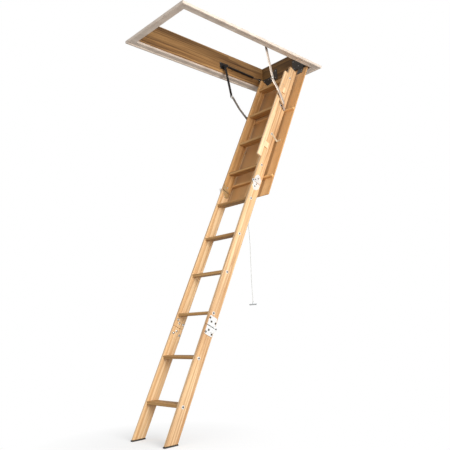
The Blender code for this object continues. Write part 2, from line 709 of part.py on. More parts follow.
def upper_arm(side, sign, finish):
    pivot, elbow = world_yz(ARM_PIVOT), world_yz(ELBOW)
    reach = elbow - pivot
    length, angle = reach.length + ARM_W, math.atan2(reach.z, reach.y)
    parent = empty(f"upper_arm_axis_{side}", pivot)
    mesh = strap_mesh(f"upper_arm_{side}", length, lambda u: UPPER_ARM_X)
    arm = solid_strap(f"upper_arm_{side}", mesh, finish, parent, angle, sign)
    outer = UPPER_ARM_X + ARM_T
    crank = Vector((0, CRANK_R * math.cos(CRANK_ANGLE), CRANK_R * math.sin(CRANK_ANGLE)))
    low, high = sorted((sign * (outer - 0.0025), sign * (outer + 0.0005)))
    ear = plate_mesh(f"crank_{side}", ear_outline(crank), low, high, "YZ")
    boolean(arm, add(f"crank_{side}", ear, None, parent, CUTTERS), "UNION")
    stud = cutter_rod(f"crank_stud_{side}", (sign * (outer - 0.001), crank.y, crank.z),
                      (sign * (STRUT_X - 0.0054), crank.y, crank.z), CRANK_STUD_R, parent, 16)
    head = cutter_rod(f"elbow_head_{side}", (sign * (outer - 0.001), reach.y, reach.z),
                      (sign * (outer + ELBOW_HEAD_T), reach.y, reach.z), ELBOW_HEAD_R, parent, 16)
    hole = cutter_rod(f"arm_hole_{side}", (sign * (UPPER_ARM_X - 0.01), 0, 0),
                      (sign * (outer + 0.01), 0, 0), ARM_STUD_R + PIN_CLEAR, parent, 16)
    boolean(arm, stud, "UNION")
    boolean(arm, head, "UNION")
    boolean(arm, hole, "DIFFERENCE")


def ear_outline(crank):
    """Crank ear: a round end about the stud, tapering into the arm's pivot end."""
    angle = math.degrees(math.atan2(crank.z, crank.y))
    tip = arc((crank.y, crank.z), CRANK_EAR_R, angle - 80, angle + 80, 6)
    root = arc((0, 0), ARM_W / 2 - GAP, angle + 100, angle + 260, 6)
    return tip + root


def lower_arm(side, sign, finish, axis):
    """Modelled in the door's frame about its bolt in the stile; it jogs out past the handrail."""
    foot = Vector((0, -ARM_FOOT_N, -ARM_FOOT_S))
    elbow = Matrix.Rotation(-TILT, 3, "X") @ (world_yz(ELBOW) - Vector((0, HINGE_Y, HINGE_Z)))
    reach = elbow - foot
    length, angle = reach.length + ARM_W, math.atan2(reach.z, reach.y)
    parent = empty(f"lower_arm_axis_{side}", foot, axis)

    bends = ((0.014, ARM_FOOT_X), (0.045, 0.2035), (0.150, LOWER_ARM_X - ARM_T))

    def offset_at(u):
        """Straight runs between the bends, each given as distance from the bolt and x."""
        r = u - ARM_W / 2
        for (start, x), (end, next_x) in zip(bends, bends[1:]):
            if r < end:
                return x + (next_x - x) * max(0, r - start) / (end - start)
        return bends[-1][1]

    mesh = strap_mesh(f"lower_arm_{side}", length, offset_at)
    arm = solid_strap(f"lower_arm_{side}", mesh, finish, parent, angle, sign)
    bolt = cutter_rod(f"arm_bolt_{side}", (sign * (LADDER_HALF_W + 0.0004), 0, 0),
                      (sign * (ARM_FOOT_X + ARM_T + 0.002), 0, 0), ARM_BOLT_R, parent, 16)
    head = cutter_rod(f"elbow_cap_{side}", (sign * (LOWER_ARM_X - ARM_T + 0.001), reach.y, reach.z),
                      (sign * (LOWER_ARM_X - ARM_T - ELBOW_HEAD_T), reach.y, reach.z), ELBOW_HEAD_R,
                      parent, 16)
    boolean(arm, bolt, "UNION")
    boolean(arm, head, "UNION")


def arm_bracket(side, sign):
    """Plate on the long board with the stud that the upper arm turns on."""
    pivot = world_yz(ARM_PIVOT)
    wall = OPEN_W / 2
    low, high = sorted((sign * (wall - 0.003), sign * wall))
    plate = box(f"arm_bracket_{side}", (low, pivot.y - 0.028, pivot.z - 0.022),
                (high, pivot.y + 0.028, pivot.z + 0.034), "black_steel", None, 0)
    stud = cutter_rod(f"arm_stud_{side}", (sign * (wall - 0.0015), pivot.y, pivot.z),
                      (sign * (UPPER_ARM_X - 0.001), pivot.y, pivot.z), ARM_STUD_R, None, 16)
    cap = cutter_rod(f"arm_stud_cap_{side}", (sign * (UPPER_ARM_X - 0.0004), pivot.y, pivot.z),
                     (sign * (UPPER_ARM_X - 0.0035), pivot.y, pivot.z), 0.0085, None, 16)
    boolean(plate, stud, "UNION")
    boolean(plate, cap, "UNION")


def gas_strut(side, sign):
    """Rod turning on the hinge bracket's stud, sliding in a cylinder whose eye meets the crank."""
    anchor = world_yz(STRUT_ANCHOR)
    crank = world_yz(ARM_PIVOT)
    crank += Vector((0, CRANK_R * math.cos(CRANK_ANGLE), CRANK_R * math.sin(CRANK_ANGLE)))
    reach = crank - anchor
    length, angle = reach.length, math.atan2(reach.z, reach.y)
    turn = Matrix.Rotation(angle, 4, "X")
    rod_axis = empty(f"strut_rod_axis_{side}", anchor)
    cylinder_axis = empty(f"strut_cylinder_axis_{side}", reach, rod_axis)
    mouth = length - CYLINDER_END - CYLINDER_L
    rod_end = mouth + ROD_INSIDE
    slim, end_r, bore_r = ROD_R, 0.006, ROD_R + 0.0006

    def turned(name, profile, finish, parent):
        """A lathe shape whose axis runs along the strut, heights measured from the anchor."""
        mesh = turned_mesh(name, profile)
        mesh.transform(Matrix.Rotation(-math.pi / 2, 4, "X"))
        mesh.transform(turn)
        mesh.transform(Matrix.Translation((sign * STRUT_X, 0, 0)))
        return add(name, mesh, finish, parent)

    profile = [(0, rod_end), (slim, rod_end), (slim, 0.020), (end_r, 0.020), (end_r, 0.004), (0, 0.004)]
    rod = turned(f"strut_rod_{side}", profile, "zinc_steel", rod_axis)
    eye = cutter_rod(f"rod_eye_{side}", (sign * (STRUT_X - 0.0045), 0, 0),
                     (sign * (STRUT_X + 0.0045), 0, 0), STRUT_EYE_R, rod_axis)
    bore = cutter_rod(f"rod_eye_bore_{side}", (sign * (STRUT_X - 0.01), 0, 0),
                      (sign * (STRUT_X + 0.012), 0, 0), STRUT_STUD_R + PIN_CLEAR, rod_axis, 16)
    boolean(rod, eye, "UNION")
    boolean(rod, bore, "DIFFERENCE")

    neck_r, neck_top, closed_end = 0.005, length - 0.006, length - CYLINDER_END
    profile = [(0, neck_top), (neck_r, neck_top), (neck_r, closed_end),
               (CYLINDER_R - 0.002, closed_end), (CYLINDER_R, closed_end - 0.003),
               (CYLINDER_R, mouth + 0.004), (CYLINDER_R - 0.003, mouth), (bore_r, mouth),
               (bore_r, closed_end - 0.007), (0, closed_end - 0.007)]
    cylinder = turned(f"strut_cylinder_{side}", profile, "black_steel", cylinder_axis)
    cylinder.data.transform(Matrix.Translation(-reach))
    eye = cutter_rod(f"cylinder_eye_{side}", (sign * (STRUT_X - 0.005), 0, 0),
                     (sign * (STRUT_X + 0.005), 0, 0), STRUT_EYE_R, cylinder_axis)
    boolean(cylinder, eye, "UNION")


# ---------------------------------------------------------------- pull cord

def smooth_route(points, count):
    """Points at even parameter steps on the Catmull-Rom curve through the given points."""
    padded = [points[0] * 2 - points[1]] + points + [points[-1] * 2 - points[-2]]
    spans = len(points) - 1
    route = []
    for i in range(count):
        place = i / (count - 1) * spans
        k = min(int(place), spans - 1)
        t = place - k
        a, b, c, d = padded[k:k + 4]
        route.append(0.5 * (2 * b + (c - a) * t + (2 * a - 5 * b + 4 * c - d) * t ** 2
                            + (3 * b - a - 3 * c + d) * t ** 3))
    return route


def eye_world():
    local = Vector((0, -DOOR_FACE_N + DOOR_T + GAP + EYE_DROP, -EYE_S))
    return Vector((0, HINGE_Y, HINGE_Z)) + Matrix.Rotation(TILT, 3, "X") @ local


def pull_cord():
    """Cord from the screw eye down to a small T-handle, both hanging from the cord's axis."""
    eye = eye_world()
    parent = empty("pull_cord_axis", eye)
    top = eye.z - 0.0112
    end = BOTTOM_Z - HANDLE_DROP + 0.0145
    drop = top - end
    sway = ((0.0, 0.0), (0.10, 0.0015), (0.24, -0.002), (0.42, 0.004),
            (0.60, 0.001), (0.80, -0.002), (1.0, 0.0))
    points = [Vector((0, eye.y + dy, top - drop * f)) for f, dy in sway]
    curve = bpy.data.curves.new("pull_cord", "CURVE")
    curve.dimensions = "3D"
    curve.bevel_depth = CORD_D / 2
    curve.bevel_resolution = 2
    curve.use_fill_caps = True
    spline = curve.splines.new("POLY")
    route = smooth_route(points, 76)
    spline.points.add(len(route) - 1)
    for point, place in zip(spline.points, route):
        point.co = (*(place - eye), 1)
    curve.materials.append(material("white_cord"))
    cord = bpy.data.objects.new("pull_cord", curve)
    PARTS.objects.link(cord)
    cord.parent = parent
    t_handle(parent, end - GAP, eye)


def t_handle(parent, top, eye):
    """Neck and crossbar in one moulded piece."""
    profile = [(0, 0), (0.0042, -0.0005), (0.0046, -0.010), (0.0040, -0.018), (0, -0.018)]
    handle = add("cord_handle", turned_mesh("cord_handle", profile, 16), "grey_plastic", parent)
    half_bar = [(0, 0.037), (0.0035, 0.0366), (0.0052, 0.033), (0.0046, 0.017)]
    bar = half_bar + [(0.0042, 0.0)] + [(radius, -reach) for radius, reach in reversed(half_bar)]
    mesh = turned_mesh("handle_bar", bar, 16)
    mesh.transform(Matrix.Rotation(math.pi / 2, 4, "Y"))
    mesh.transform(Matrix.Translation((0, 0, -0.0185)))
    other = add("handle_bar", mesh, None, parent, CUTTERS)
    for obj in (handle, other):
        obj.location = (0, 0, top - eye.z)
    boolean(handle, other, "UNION")


def build():
    hatch_boards()
    casing()
    door_axis = empty("door_axis", (0, HINGE_Y, HINGE_Z), None, TILT)
    door_panel(door_axis)
    for side, sign in SIDES:
        hatch_hinge(side, sign, door_axis)
        stile_bracket(side, sign, door_axis)
    ladder(door_axis)
    handrail(door_axis)
    arms(door_axis)
    cord_eye(door_axis)
    pull_cord()


build()
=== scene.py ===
"""Looks for the folding attic ladder: camera, pull cord, floor and light, materials, fasteners."""

import json
import math

import bmesh
import bpy
from mathutils import Matrix, Vector


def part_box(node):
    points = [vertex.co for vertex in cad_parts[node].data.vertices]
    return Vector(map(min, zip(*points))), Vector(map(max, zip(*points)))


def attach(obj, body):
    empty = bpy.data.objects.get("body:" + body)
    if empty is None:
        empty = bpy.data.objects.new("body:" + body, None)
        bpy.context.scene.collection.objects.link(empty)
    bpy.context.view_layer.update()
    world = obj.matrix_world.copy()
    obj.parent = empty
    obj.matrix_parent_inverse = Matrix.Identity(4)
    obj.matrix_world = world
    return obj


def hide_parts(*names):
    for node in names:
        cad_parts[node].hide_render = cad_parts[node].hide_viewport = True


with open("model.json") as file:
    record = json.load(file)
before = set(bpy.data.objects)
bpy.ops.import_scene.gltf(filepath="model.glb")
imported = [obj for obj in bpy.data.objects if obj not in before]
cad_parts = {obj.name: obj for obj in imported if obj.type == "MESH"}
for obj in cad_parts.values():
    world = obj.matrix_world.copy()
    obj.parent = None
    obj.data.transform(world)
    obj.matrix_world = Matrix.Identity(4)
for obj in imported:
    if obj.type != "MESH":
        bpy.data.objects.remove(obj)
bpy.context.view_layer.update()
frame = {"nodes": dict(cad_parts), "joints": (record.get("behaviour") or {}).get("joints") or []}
NODES = frame["nodes"]
JOINTS = {joint["name"]: joint for joint in frame["joints"]}
SIDES = (("left", -1), ("right", 1))

# the ladder's own directions: down the stiles, and out towards the climber
SLOPE = math.radians(63.0)
DOWN = Vector((0, -math.cos(SLOPE), -math.sin(SLOPE)))
FRONT = Vector((0, -math.sin(SLOPE), math.cos(SLOPE)))
HINGE = Vector(JOINTS["door_hinge"]["pos_m"])
ACROSS = Vector((1, 0, 0))

# camera, where the photograph's perspective puts it
CAMERA_PLACE = Vector((2.7623, -3.4832, -2.1542))
CAMERA_YAW = math.radians(46.121)
CAMERA_PITCH = math.radians(10.331)
CAMERA_ROLL = math.radians(-2.839)
CAMERA_LENS = 43.52

# pull cord
CORD_D = 0.0032
CORD_TURNS_CLEAR = 0.0112       # from the eye's centre down to the cord's start
CORD_SWAY = ((0.0, 0.0), (0.10, 0.0015), (0.24, -0.002), (0.42, 0.004), (0.60, 0.001), (0.80, -0.002),
             (1.0, 0.0))       # share of the way down, and how far off plumb
CORD_POINTS = 37
KNOT_POINTS = 60
BOW_POINTS = 40
BOW_HALF = Vector((0.0046, 0.0012, 0.0070))     # half sizes of the cord's bow through the screw eye
BOW_DROP = 0.0045               # the bow's middle and the upper knot, below the eye's centre
KNOT_DROP = 0.0128
KNOT_RISE = 0.0022              # the lower knot above the cord's end
UPPER_KNOT, LOWER_KNOT = 0.0034, 0.0032     # the knots' radii
BOARD_UNDERSIDE = -0.09
HANDLE_DROP = 1.928             # from the boards' underside down to the T-handle
HANDLE_NECK = 0.0145            # the cord's end above that

FLOOR_REACH = 30                # the stage floor's half width
FLOOR_BELOW = 0.0002            # gap under the feet
SHADOW_FROM, SHADOW_TO = 0.10, 0.75     # the floor's soft shadow fades out between these distances
SHADOW_DEPTH = 0.45             # share of plain white that is left in its middle
LIT_POINT = (0, -0.8, -1.3)     # where both lamps are aimed

LEAF_FACE = 0.1728              # outer face of the section hinges' leaves
STILE_FACE = 0.170              # outer face of the stiles
STILE_INNER = 0.151
SHARP_EDGE = math.radians(35)   # edges that turn more than this stay sharp
SUNK = 0.0002                   # washers and lips sit this deep in the face under them
HINGE_WASHER_T = 0.0008
ROUND_SEGMENTS, RIVET_SEGMENTS, SCREW_SEGMENTS = 24, 20, 32


# ---------------------------------------------------------------- geometry

def at(x, s, n):
    """Point at x across, s down the stiles and n out from the door hinge's axis."""
    return HINGE + ACROSS * x + DOWN * s + FRONT * n


def on_ladder(point):
    """A point's place down the stiles and out from the door hinge's axis."""
    offset = point - HINGE
    return offset.dot(DOWN), offset.dot(FRONT)


def centre(node):
    low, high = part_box(node)
    return (low + high) / 2


def piece(name, mesh_builder, material, body):
    """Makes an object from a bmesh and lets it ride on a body."""
    mesh = bpy.data.meshes.new(name)
    bmesh.ops.recalc_face_normals(mesh_builder, faces=mesh_builder.faces)
    mesh_builder.to_mesh(mesh)
    mesh_builder.free()
    mesh.shade_smooth()
    mesh.set_sharp_from_angle(angle=SHARP_EDGE)
    mesh.materials.append(material)
    obj = bpy.data.objects.new(name, mesh)
    bpy.context.scene.collection.objects.link(obj)
    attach(obj, body)
    return obj


def round_ring(radius):
    return lambda angle: radius


def hex_ring(flat):
    """Radius of a hexagon of that half width over the flats."""
    corner = math.radians(30)
    return lambda angle: flat / math.cos(angle % (2 * corner) - corner)


def cross_ring(radius):
    """Radius of a cross-shaped driver recess."""
    return lambda angle: radius * (0.3 + 0.7 * abs(math.cos(2 * angle)) ** 6)


def loft(builder, place, rings, segments):
    """Adds one closed form of rings, each a height and a radius as a function of the angle."""
    rows = []
    for height, radius in rings:
        row = []
        for step in range(segments):
            angle = 2 * math.pi * step / segments
            reach = radius(angle)
            point = Vector((reach * math.cos(angle), reach * math.sin(angle), height))
            row.append(builder.verts.new(place @ point))
        rows.append(row)
    for low, high in zip(rows, rows[1:]):
        for step in range(segments):
            after = (step + 1) % segments
            builder.faces.new((low[step], low[after], high[after], high[step]))
    builder.faces.new(reversed(rows[0]))
    tip = builder.verts.new(place @ Vector((0, 0, rings[-1][0])))
    for step in range(segments):
        builder.faces.new((rows[-1][step], rows[-1][(step + 1) % segments], tip))


def washer(radius, thickness):
    """Rings of a flat washer with a chamfer."""
    edge = thickness * 0.3
    return [(-SUNK, round_ring(radius)), (thickness - edge, round_ring(radius)),
            (thickness, round_ring(radius - edge))]


def dome_bolt(radius, height, washer_radius, washer_t):
    """Round-headed bolt on a washer; this form and the next ones are rings and a count of segments."""
    rings = washer(washer_radius, washer_t)
    for share, width in ((0.0, 1.0), (0.35, 0.97), (0.65, 0.84), (0.88, 0.56), (0.98, 0.22)):
        rings.append((washer_t + height * share, round_ring(radius * width)))
    return rings, ROUND_SEGMENTS


def hex_bolt(flat, height, washer_radius):
    """Hexagon head on a washer, with its chamfer."""
    rings = washer(washer_radius, HINGE_WASHER_T)
    base = HINGE_WASHER_T
    rings += [(base, hex_ring(flat)), (base + height * 0.78, hex_ring(flat)),
              (base + height, round_ring(flat * 0.92)), (base + height * 0.94, round_ring(flat * 0.6))]
    return rings, ROUND_SEGMENTS


def nut(flat, height, thread, washer_radius):
    """Hexagon nut on a washer, with the bolt's end standing out of it."""
    rings = washer(washer_radius, HINGE_WASHER_T)
    base, top = HINGE_WASHER_T, HINGE_WASHER_T + height
    rings += [(base, hex_ring(flat)), (top - flat * 0.12, hex_ring(flat)), (top, round_ring(flat * 0.9)),
              (top, round_ring(thread)), (top + thread * 0.7, round_ring(thread)),
              (top + thread, round_ring(thread * 0.7))]
    return rings, ROUND_SEGMENTS


def rivet(radius, height):
    """Low domed rivet head."""
    rings = [(-0.0003, round_ring(radius))]
    for step in range(1, 5):
        turn = math.pi / 2 * step / 4.6
        rings.append((height * math.sin(turn), round_ring(radius * math.cos(turn))))
    return rings, RIVET_SEGMENTS


def screw(radius):
    """Countersunk screw head, barely proud, with a cross recess."""
    proud = radius * 0.16
    rings = [(-0.0004, round_ring(radius)), (proud * 0.4, round_ring(radius)),
             (proud, round_ring(radius * 0.86)), (proud, cross_ring(radius * 0.62)),
             (-radius * 0.35, cross_ring(radius * 0.5))]
    return rings, SCREW_SEGMENTS


def fasteners(name, body, material, form, places):
    """One zinc-plated object of repeated fasteners; places pair a point with an outward direction."""
    rings, segments = form
    builder = bmesh.new()
    for index, (point, normal) in enumerate(places):
        facing = normal.to_track_quat("Z", "Y").to_matrix().to_4x4()
        turn = Matrix.Rotation(index * 1.3, 4, "Z")
        loft(builder, Matrix.Translation(point) @ facing @ turn, rings, segments)
    return piece(name, builder, material, body)


def tube(name, points, radius, material, body, closed=False, resolution=3):
    """Round tube along a given path."""
    curve = bpy.data.curves.new(name, "CURVE")
    curve.dimensions = "3D"
    curve.bevel_depth = radius
    curve.bevel_resolution = resolution
    curve.use_fill_caps = not closed
    spline = curve.splines.new("POLY")
    spline.points.add(len(points) - 1)
    spline.use_cyclic_u = closed
    for target, point in zip(spline.points, points):
        target.co = (*point, 1)
    curve.materials.append(material)
    obj = bpy.data.objects.new(name, curve)
    bpy.context.scene.collection.objects.link(obj)
    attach(obj, body)
    return obj


# ---------------------------------------------------------------- materials

def tone(text):
    """Linear colour from a hexadecimal display colour."""
    values = [int(text[i:i + 2], 16) / 255 for i in (0, 2, 4)]
    return (*[v / 12.92 if v <= 0.04045 else ((v + 0.055) / 1.055) ** 2.4 for v in values], 1.0)


def scaled(colour, factor):
    """The colour made darker or lighter by a factor."""
    return tuple(value * factor for value in colour[:3]) + (1.0,)


class Surface:
    """A material's node tree, with short ways to add nodes to it."""

    def __init__(self, name):
        self.material = bpy.data.materials.new(name)
        self.material.use_nodes = True
        self.nodes = self.material.node_tree.nodes
        self.links = self.material.node_tree.links
        self.shader = self.nodes["Principled BSDF"]

    def node(self, kind, settings=None, **inputs):
        made = self.nodes.new(kind)
        for key, value in (settings or {}).items():
            setattr(made, key, value)
        for key, value in inputs.items():
            self.feed(made, key.replace("_", " "), value)
        return made

    def feed(self, node, socket, value):
        """Links a socket to an output, or sets it to a constant."""
        if isinstance(value, bpy.types.NodeSocket):
            self.links.new(value, node.inputs[socket])
        else:
            node.inputs[socket].default_value = value

    def stretched(self, turn, scale, shift=(0, 0, 0)):
        """Object coordinates turned to the grain and stretched along it."""
        place = self.node("ShaderNodeTexCoord").outputs["Object"]
        turned = self.node("ShaderNodeMapping", Vector=place, Rotation=turn, Location=shift)
        return self.node("ShaderNodeMapping", Vector=turned.outputs[0], Scale=scale).outputs[0]

    def noise(self, vector, scale, detail=3.0, distortion=0.0, roughness=0.5):
        made = self.node("ShaderNodeTexNoise", Vector=vector, Scale=scale, Detail=detail,
                         Distortion=distortion, Roughness=roughness)
        return made.outputs["Fac"]

    def ramp(self, factor, stops):
        """Colour ramp of (position, colour) stops."""
        made = self.node("ShaderNodeValToRGB", Fac=factor)
        elements = made.color_ramp.elements
        while len(elements) < len(stops):
            elements.new(0.5)
        for element, (position, colour) in zip(elements, stops):
            element.position = position
            element.color = colour
        return made.outputs["Color"]

    def span(self, factor, low, high, start=0.0, end=1.0):
        """Maps a factor from start..end to low..high."""
        made = self.node("ShaderNodeMapRange", Value=factor)
        for socket, value in (("From Min", start), ("From Max", end), ("To Min", low), ("To Max", high)):
            made.inputs[socket].default_value = value
        return made.outputs[0]

    def mix(self, factor, first, second):
        made = self.node("ShaderNodeMix", {"data_type": "RGBA"})
        for index, value in ((0, factor), (6, first), (7, second)):
            self.feed(made, index, value)
        return made.outputs[2]

    def maths(self, operation, first, second):
        made = self.node("ShaderNodeMath", {"operation": operation})
        for index, value in ((0, first), (1, second)):
            self.feed(made, index, value)
        return made.outputs[0]

    def edges(self, radius):
        """A factor of 1 on the rounded-over edges and 0 on flats, and the rounded normal."""
        bevel = self.node("ShaderNodeBevel", {"samples": 4}, Radius=radius)
        geometry = self.node("ShaderNodeNewGeometry")
        likeness = self.node("ShaderNodeVectorMath", {"operation": "DOT_PRODUCT"})
        self.links.new(bevel.outputs[0], likeness.inputs[0])
        self.links.new(geometry.outputs["Normal"], likeness.inputs[1])
        return self.span(likeness.outputs["Value"], 1.0, 0.0, 0.80, 0.995), bevel.outputs[0]

    def finish(self, colour, roughness, height=None, bump=0.2, distance=0.0006, normal=None):
        self.feed(self.shader, "Base Color", colour)
        self.feed(self.shader, "Roughness", roughness)
        if height is not None:
            relief = self.node("ShaderNodeBump", Height=height, Strength=bump, Distance=distance)
            if normal is not None:
                self.links.new(normal, relief.inputs["Normal"])
            self.links.new(relief.outputs[0], self.shader.inputs["Normal"])
        return self.material


ALONG_LADDER = (math.pi / 2 - SLOPE, 0, 0)
WORLD_GRAIN = (0, 0, 0)


def wood(name, light, mid, dark, turn, grain="z", dullness=0.5, shift=(0, 0, 0), figure=9.0, contrast=1.0,
         streak=60):
    """Planed softwood: broad tone, growth rings, fine pores, knots, and softened edges made lighter by
    handling wear and by a painted highlight.

    The grain runs along one axis of coordinates turned by turn; shift picks another part of the timber,
    figure and streak set how fine the rings and the dark streaks are, contrast how strong, and dullness
    is the roughness that the fibres vary.
    """
    surface = Surface(name)
    axis = "xyz".index(grain)

    def scales(across, along):
        values = [across, across, across]
        values[axis] = along
        return values

    rings_at = surface.stretched(turn, scales(figure, figure * 0.075), shift)
    warp = surface.noise(rings_at, 0.9, 2.0, 0.6)
    rings = surface.node("ShaderNodeTexWave", {"wave_type": "RINGS", "rings_direction": grain.upper(),
                                               "wave_profile": "SAW"}, Vector=rings_at, Scale=1.6,
                         Distortion=5.5, Detail=2.5, Detail_Scale=0.8).outputs["Fac"]
    fibres = surface.noise(surface.stretched(turn, scales(300, 7), shift), 1.0, 4.0, 0.2, 0.6)
    streaks = surface.noise(surface.stretched(turn, scales(streak, 1.4), shift), 1.0, 4.0, 0.5, 0.6)
    broad = surface.noise(surface.stretched(turn, scales(7, 1.0), shift), 1.0, 2.0)

    figure_mix = surface.maths("ADD", surface.maths("MULTIPLY", rings, 0.45),
                               surface.maths("MULTIPLY", warp, 0.55))
    base = surface.ramp(figure_mix, [(0.22, light), (0.52, mid), (0.92, dark)])
    base = surface.mix(surface.span(streaks, 0.0, 0.55 * contrast, 0.42, 0.75), base, dark)
    base = surface.mix(surface.span(fibres, 0.0, 0.30 * contrast, 0.50, 0.80), base, dark)
    base = surface.mix(surface.span(broad, 0.0, 0.5, 0.45, 0.8), base, light)
    spots = surface.node("ShaderNodeTexVoronoi", Vector=surface.stretched(turn, scales(13, 2.6), shift),
                         Scale=1.0, Randomness=1.0)
    chosen = surface.span(surface.node("ShaderNodeSeparateColor", Color=spots.outputs["Color"]).outputs[0],
                          0.0, 1.0, 0.86, 0.90)
    knot = surface.maths("MULTIPLY", surface.span(spots.outputs["Distance"], 1.0, 0.0, 0.05, 0.13), chosen)
    base = surface.mix(surface.maths("MULTIPLY", knot, 0.7), base, scaled(dark, 0.45))
    edge_wear_and_highlight, rounded = surface.edges(0.0016)
    # the rounded edges lighter: handling wear and a painted highlight
    base = surface.mix(surface.maths("MULTIPLY", edge_wear_and_highlight, 0.22), base, light)
    roughness = surface.span(fibres, dullness - 0.06, dullness + 0.14)
    height = surface.maths("ADD", surface.maths("MULTIPLY", fibres, 0.7),
                           surface.maths("MULTIPLY", rings, 0.3))
    surface.shader.inputs["Specular IOR Level"].default_value = 0.35
    return surface.finish(base, roughness, height, 0.22, 0.0005, rounded)


def plated_steel(name, colour, tarnish, roughness, metallic):
    """Zinc-plated sheet: faint spangle, brushed streaks, dull patches, and edges brightened towards white as
    a painted highlight.
    """
    surface = Surface(name)
    place = surface.stretched(ALONG_LADDER, (1, 1, 1))
    spangle = surface.node("ShaderNodeTexVoronoi", Vector=place, Scale=190.0).outputs["Color"]
    tint = surface.node("ShaderNodeSeparateColor", Color=spangle).outputs[0]
    brushed = surface.noise(surface.stretched(ALONG_LADDER, (900, 900, 40)), 1.0, 2.0)
    patches = surface.noise(place, 26.0, 4.0, 0.3, 0.6)
    base = surface.mix(surface.span(patches, 0.0, 0.7, 0.45, 0.75), colour, tarnish)
    base = surface.mix(surface.span(tint, 0.0, 0.22), base, tarnish)
    edge_wear_and_highlight, rounded = surface.edges(0.0006)
    # painted highlight: the rounded edges brightened towards white
    base = surface.mix(surface.maths("MULTIPLY", edge_wear_and_highlight, 0.5), base, tone("F6F7F8"))
    rough = surface.maths("ADD", surface.span(tint, roughness - 0.07, roughness + 0.07),
                          surface.span(patches, -0.05, 0.12))
    height = surface.maths("ADD", surface.maths("MULTIPLY", brushed, 0.5),
                           surface.maths("MULTIPLY", patches, 0.5))
    surface.shader.inputs["Metallic"].default_value = metallic
    return surface.finish(base, rough, height, 0.12, 0.0003, rounded)


def coated_steel(name, colour, worn_colour):
    """Dark coated steel: fine orange-peel and rubbed edges."""
    roughness = 0.42
    surface = Surface(name)
    place = surface.stretched(WORLD_GRAIN, (1, 1, 1))
    peel = surface.noise(place, 700.0, 2.0)
    smudge = surface.noise(place, 34.0, 4.0, 0.5, 0.6)
    edge_wear_and_highlight, rounded = surface.edges(0.0007)
    rubbed = surface.maths("MULTIPLY", edge_wear_and_highlight, surface.span(smudge, 0.0, 1.0, 0.42, 0.62))
    base = surface.mix(surface.span(smudge, 0.0, 0.5), colour, scaled(colour, 1.9))
    base = surface.mix(surface.maths("MULTIPLY", rubbed, 0.6), base, worn_colour)
    surface.shader.inputs["Metallic"].default_value = 0.35
    return surface.finish(base, surface.span(smudge, roughness - 0.08, roughness + 0.12), peel, 0.10, 0.0002,
                          rounded)


def painted(name, light, dark):
    """Painted moulding: thin brush marks, handled patches, and ridges made lighter by rubbed paint and by a
    painted highlight.
    """
    surface = Surface(name)
    place = surface.stretched(WORLD_GRAIN, (1, 1, 1))
    brush = surface.noise(surface.stretched(WORLD_GRAIN, (260, 30, 260)), 1.0, 3.0, 0.2)
    cloud = surface.noise(place, 9.0, 4.0, 0.4, 0.55)
    base = surface.ramp(cloud, [(0.3, dark), (0.7, light)])
    base = surface.mix(surface.span(brush, 0.0, 0.35, 0.45, 0.8), base, dark)
    edge_wear_and_highlight, rounded = surface.edges(0.0015)
    # the ridges lighter: rubbed paint and a painted highlight
    base = surface.mix(surface.maths("MULTIPLY", edge_wear_and_highlight, 0.45), base, tone("EFE6DA"))
    return surface.finish(base, surface.span(cloud, 0.38, 0.55), brush, 0.15, 0.0004, rounded)


def rubber(name):
    """Moulded rubber with a fine stipple and dusty patches."""
    surface = Surface(name)
    place = surface.stretched(WORLD_GRAIN, (1, 1, 1))
    stipple = surface.noise(place, 900.0, 3.0)
    dust = surface.noise(place, 40.0, 4.0, 0.3, 0.6)
    base = surface.mix(surface.span(dust, 0.0, 0.5, 0.5, 0.8), tone("2A2623"), tone("5B534A"))
    edge_wear_and_highlight, rounded = surface.edges(0.0012)
    base = surface.mix(surface.maths("MULTIPLY", edge_wear_and_highlight, 0.3), base, tone("6A6259"))
    return surface.finish(base, surface.span(dust, 0.72, 0.92), stipple, 0.3, 0.0004, rounded)


def plastic(name, colour, shade):
    """Moulded plastic handle: soft satin with faint flow marks."""
    surface = Surface(name)
    place = surface.stretched(WORLD_GRAIN, (1, 1, 1))
    flow = surface.noise(place, 60.0, 3.0, 1.2)
    grain = surface.noise(place, 1100.0, 2.0)
    base = surface.mix(surface.span(flow, 0.0, 0.6, 0.4, 0.8), colour, shade)
    surface.shader.inputs["Coat Weight"].default_value = 0.1
    return surface.finish(base, surface.span(flow, 0.32, 0.46), grain, 0.08, 0.0002)


def braided(name, light, dark):
    """Braided cord: two crossing sets of strands wound round it, from its own height and angle."""
    surface = Surface(name)
    place = surface.node("ShaderNodeTexCoord").outputs["Object"]
    parts = surface.node("ShaderNodeSeparateXYZ", Vector=place)
    eye_y = centre("cord_eye").y
    angle = surface.maths("ARCTAN2", parts.outputs["X"], surface.maths("SUBTRACT", parts.outputs["Y"], eye_y))
    climb = surface.maths("MULTIPLY", parts.outputs["Z"], 2 * math.pi / 0.0052)
    waves = []
    for hand in (1.0, -1.0):
        turned = surface.maths("ADD", surface.maths("MULTIPLY", angle, 3.0 * hand), climb)
        waves.append(surface.node("ShaderNodeMath", {"operation": "SINE"}))
        surface.links.new(turned, waves[-1].inputs[0])
    weave = surface.maths("MAXIMUM", waves[0].outputs[0], waves[1].outputs[0])
    fuzz = surface.noise(surface.stretched(WORLD_GRAIN, (1500, 1500, 500)), 1.0, 2.0)
    soil = surface.noise(surface.stretched(WORLD_GRAIN, (1, 1, 1)), 14.0, 3.0)
    # darker in the grooves between the strands: painted shade
    base = surface.mix(surface.span(weave, 1.0, 0.0, -0.4, 0.8), light, dark)
    base = surface.mix(surface.span(soil, 0.0, 0.35, 0.45, 0.8), base, dark)
    height = surface.maths("ADD", weave, surface.maths("MULTIPLY", fuzz, 0.4))
    surface.shader.inputs["Sheen Weight"].default_value = 0.25
    return surface.finish(base, surface.span(fuzz, 0.75, 0.95), height, 0.5, 0.0004)


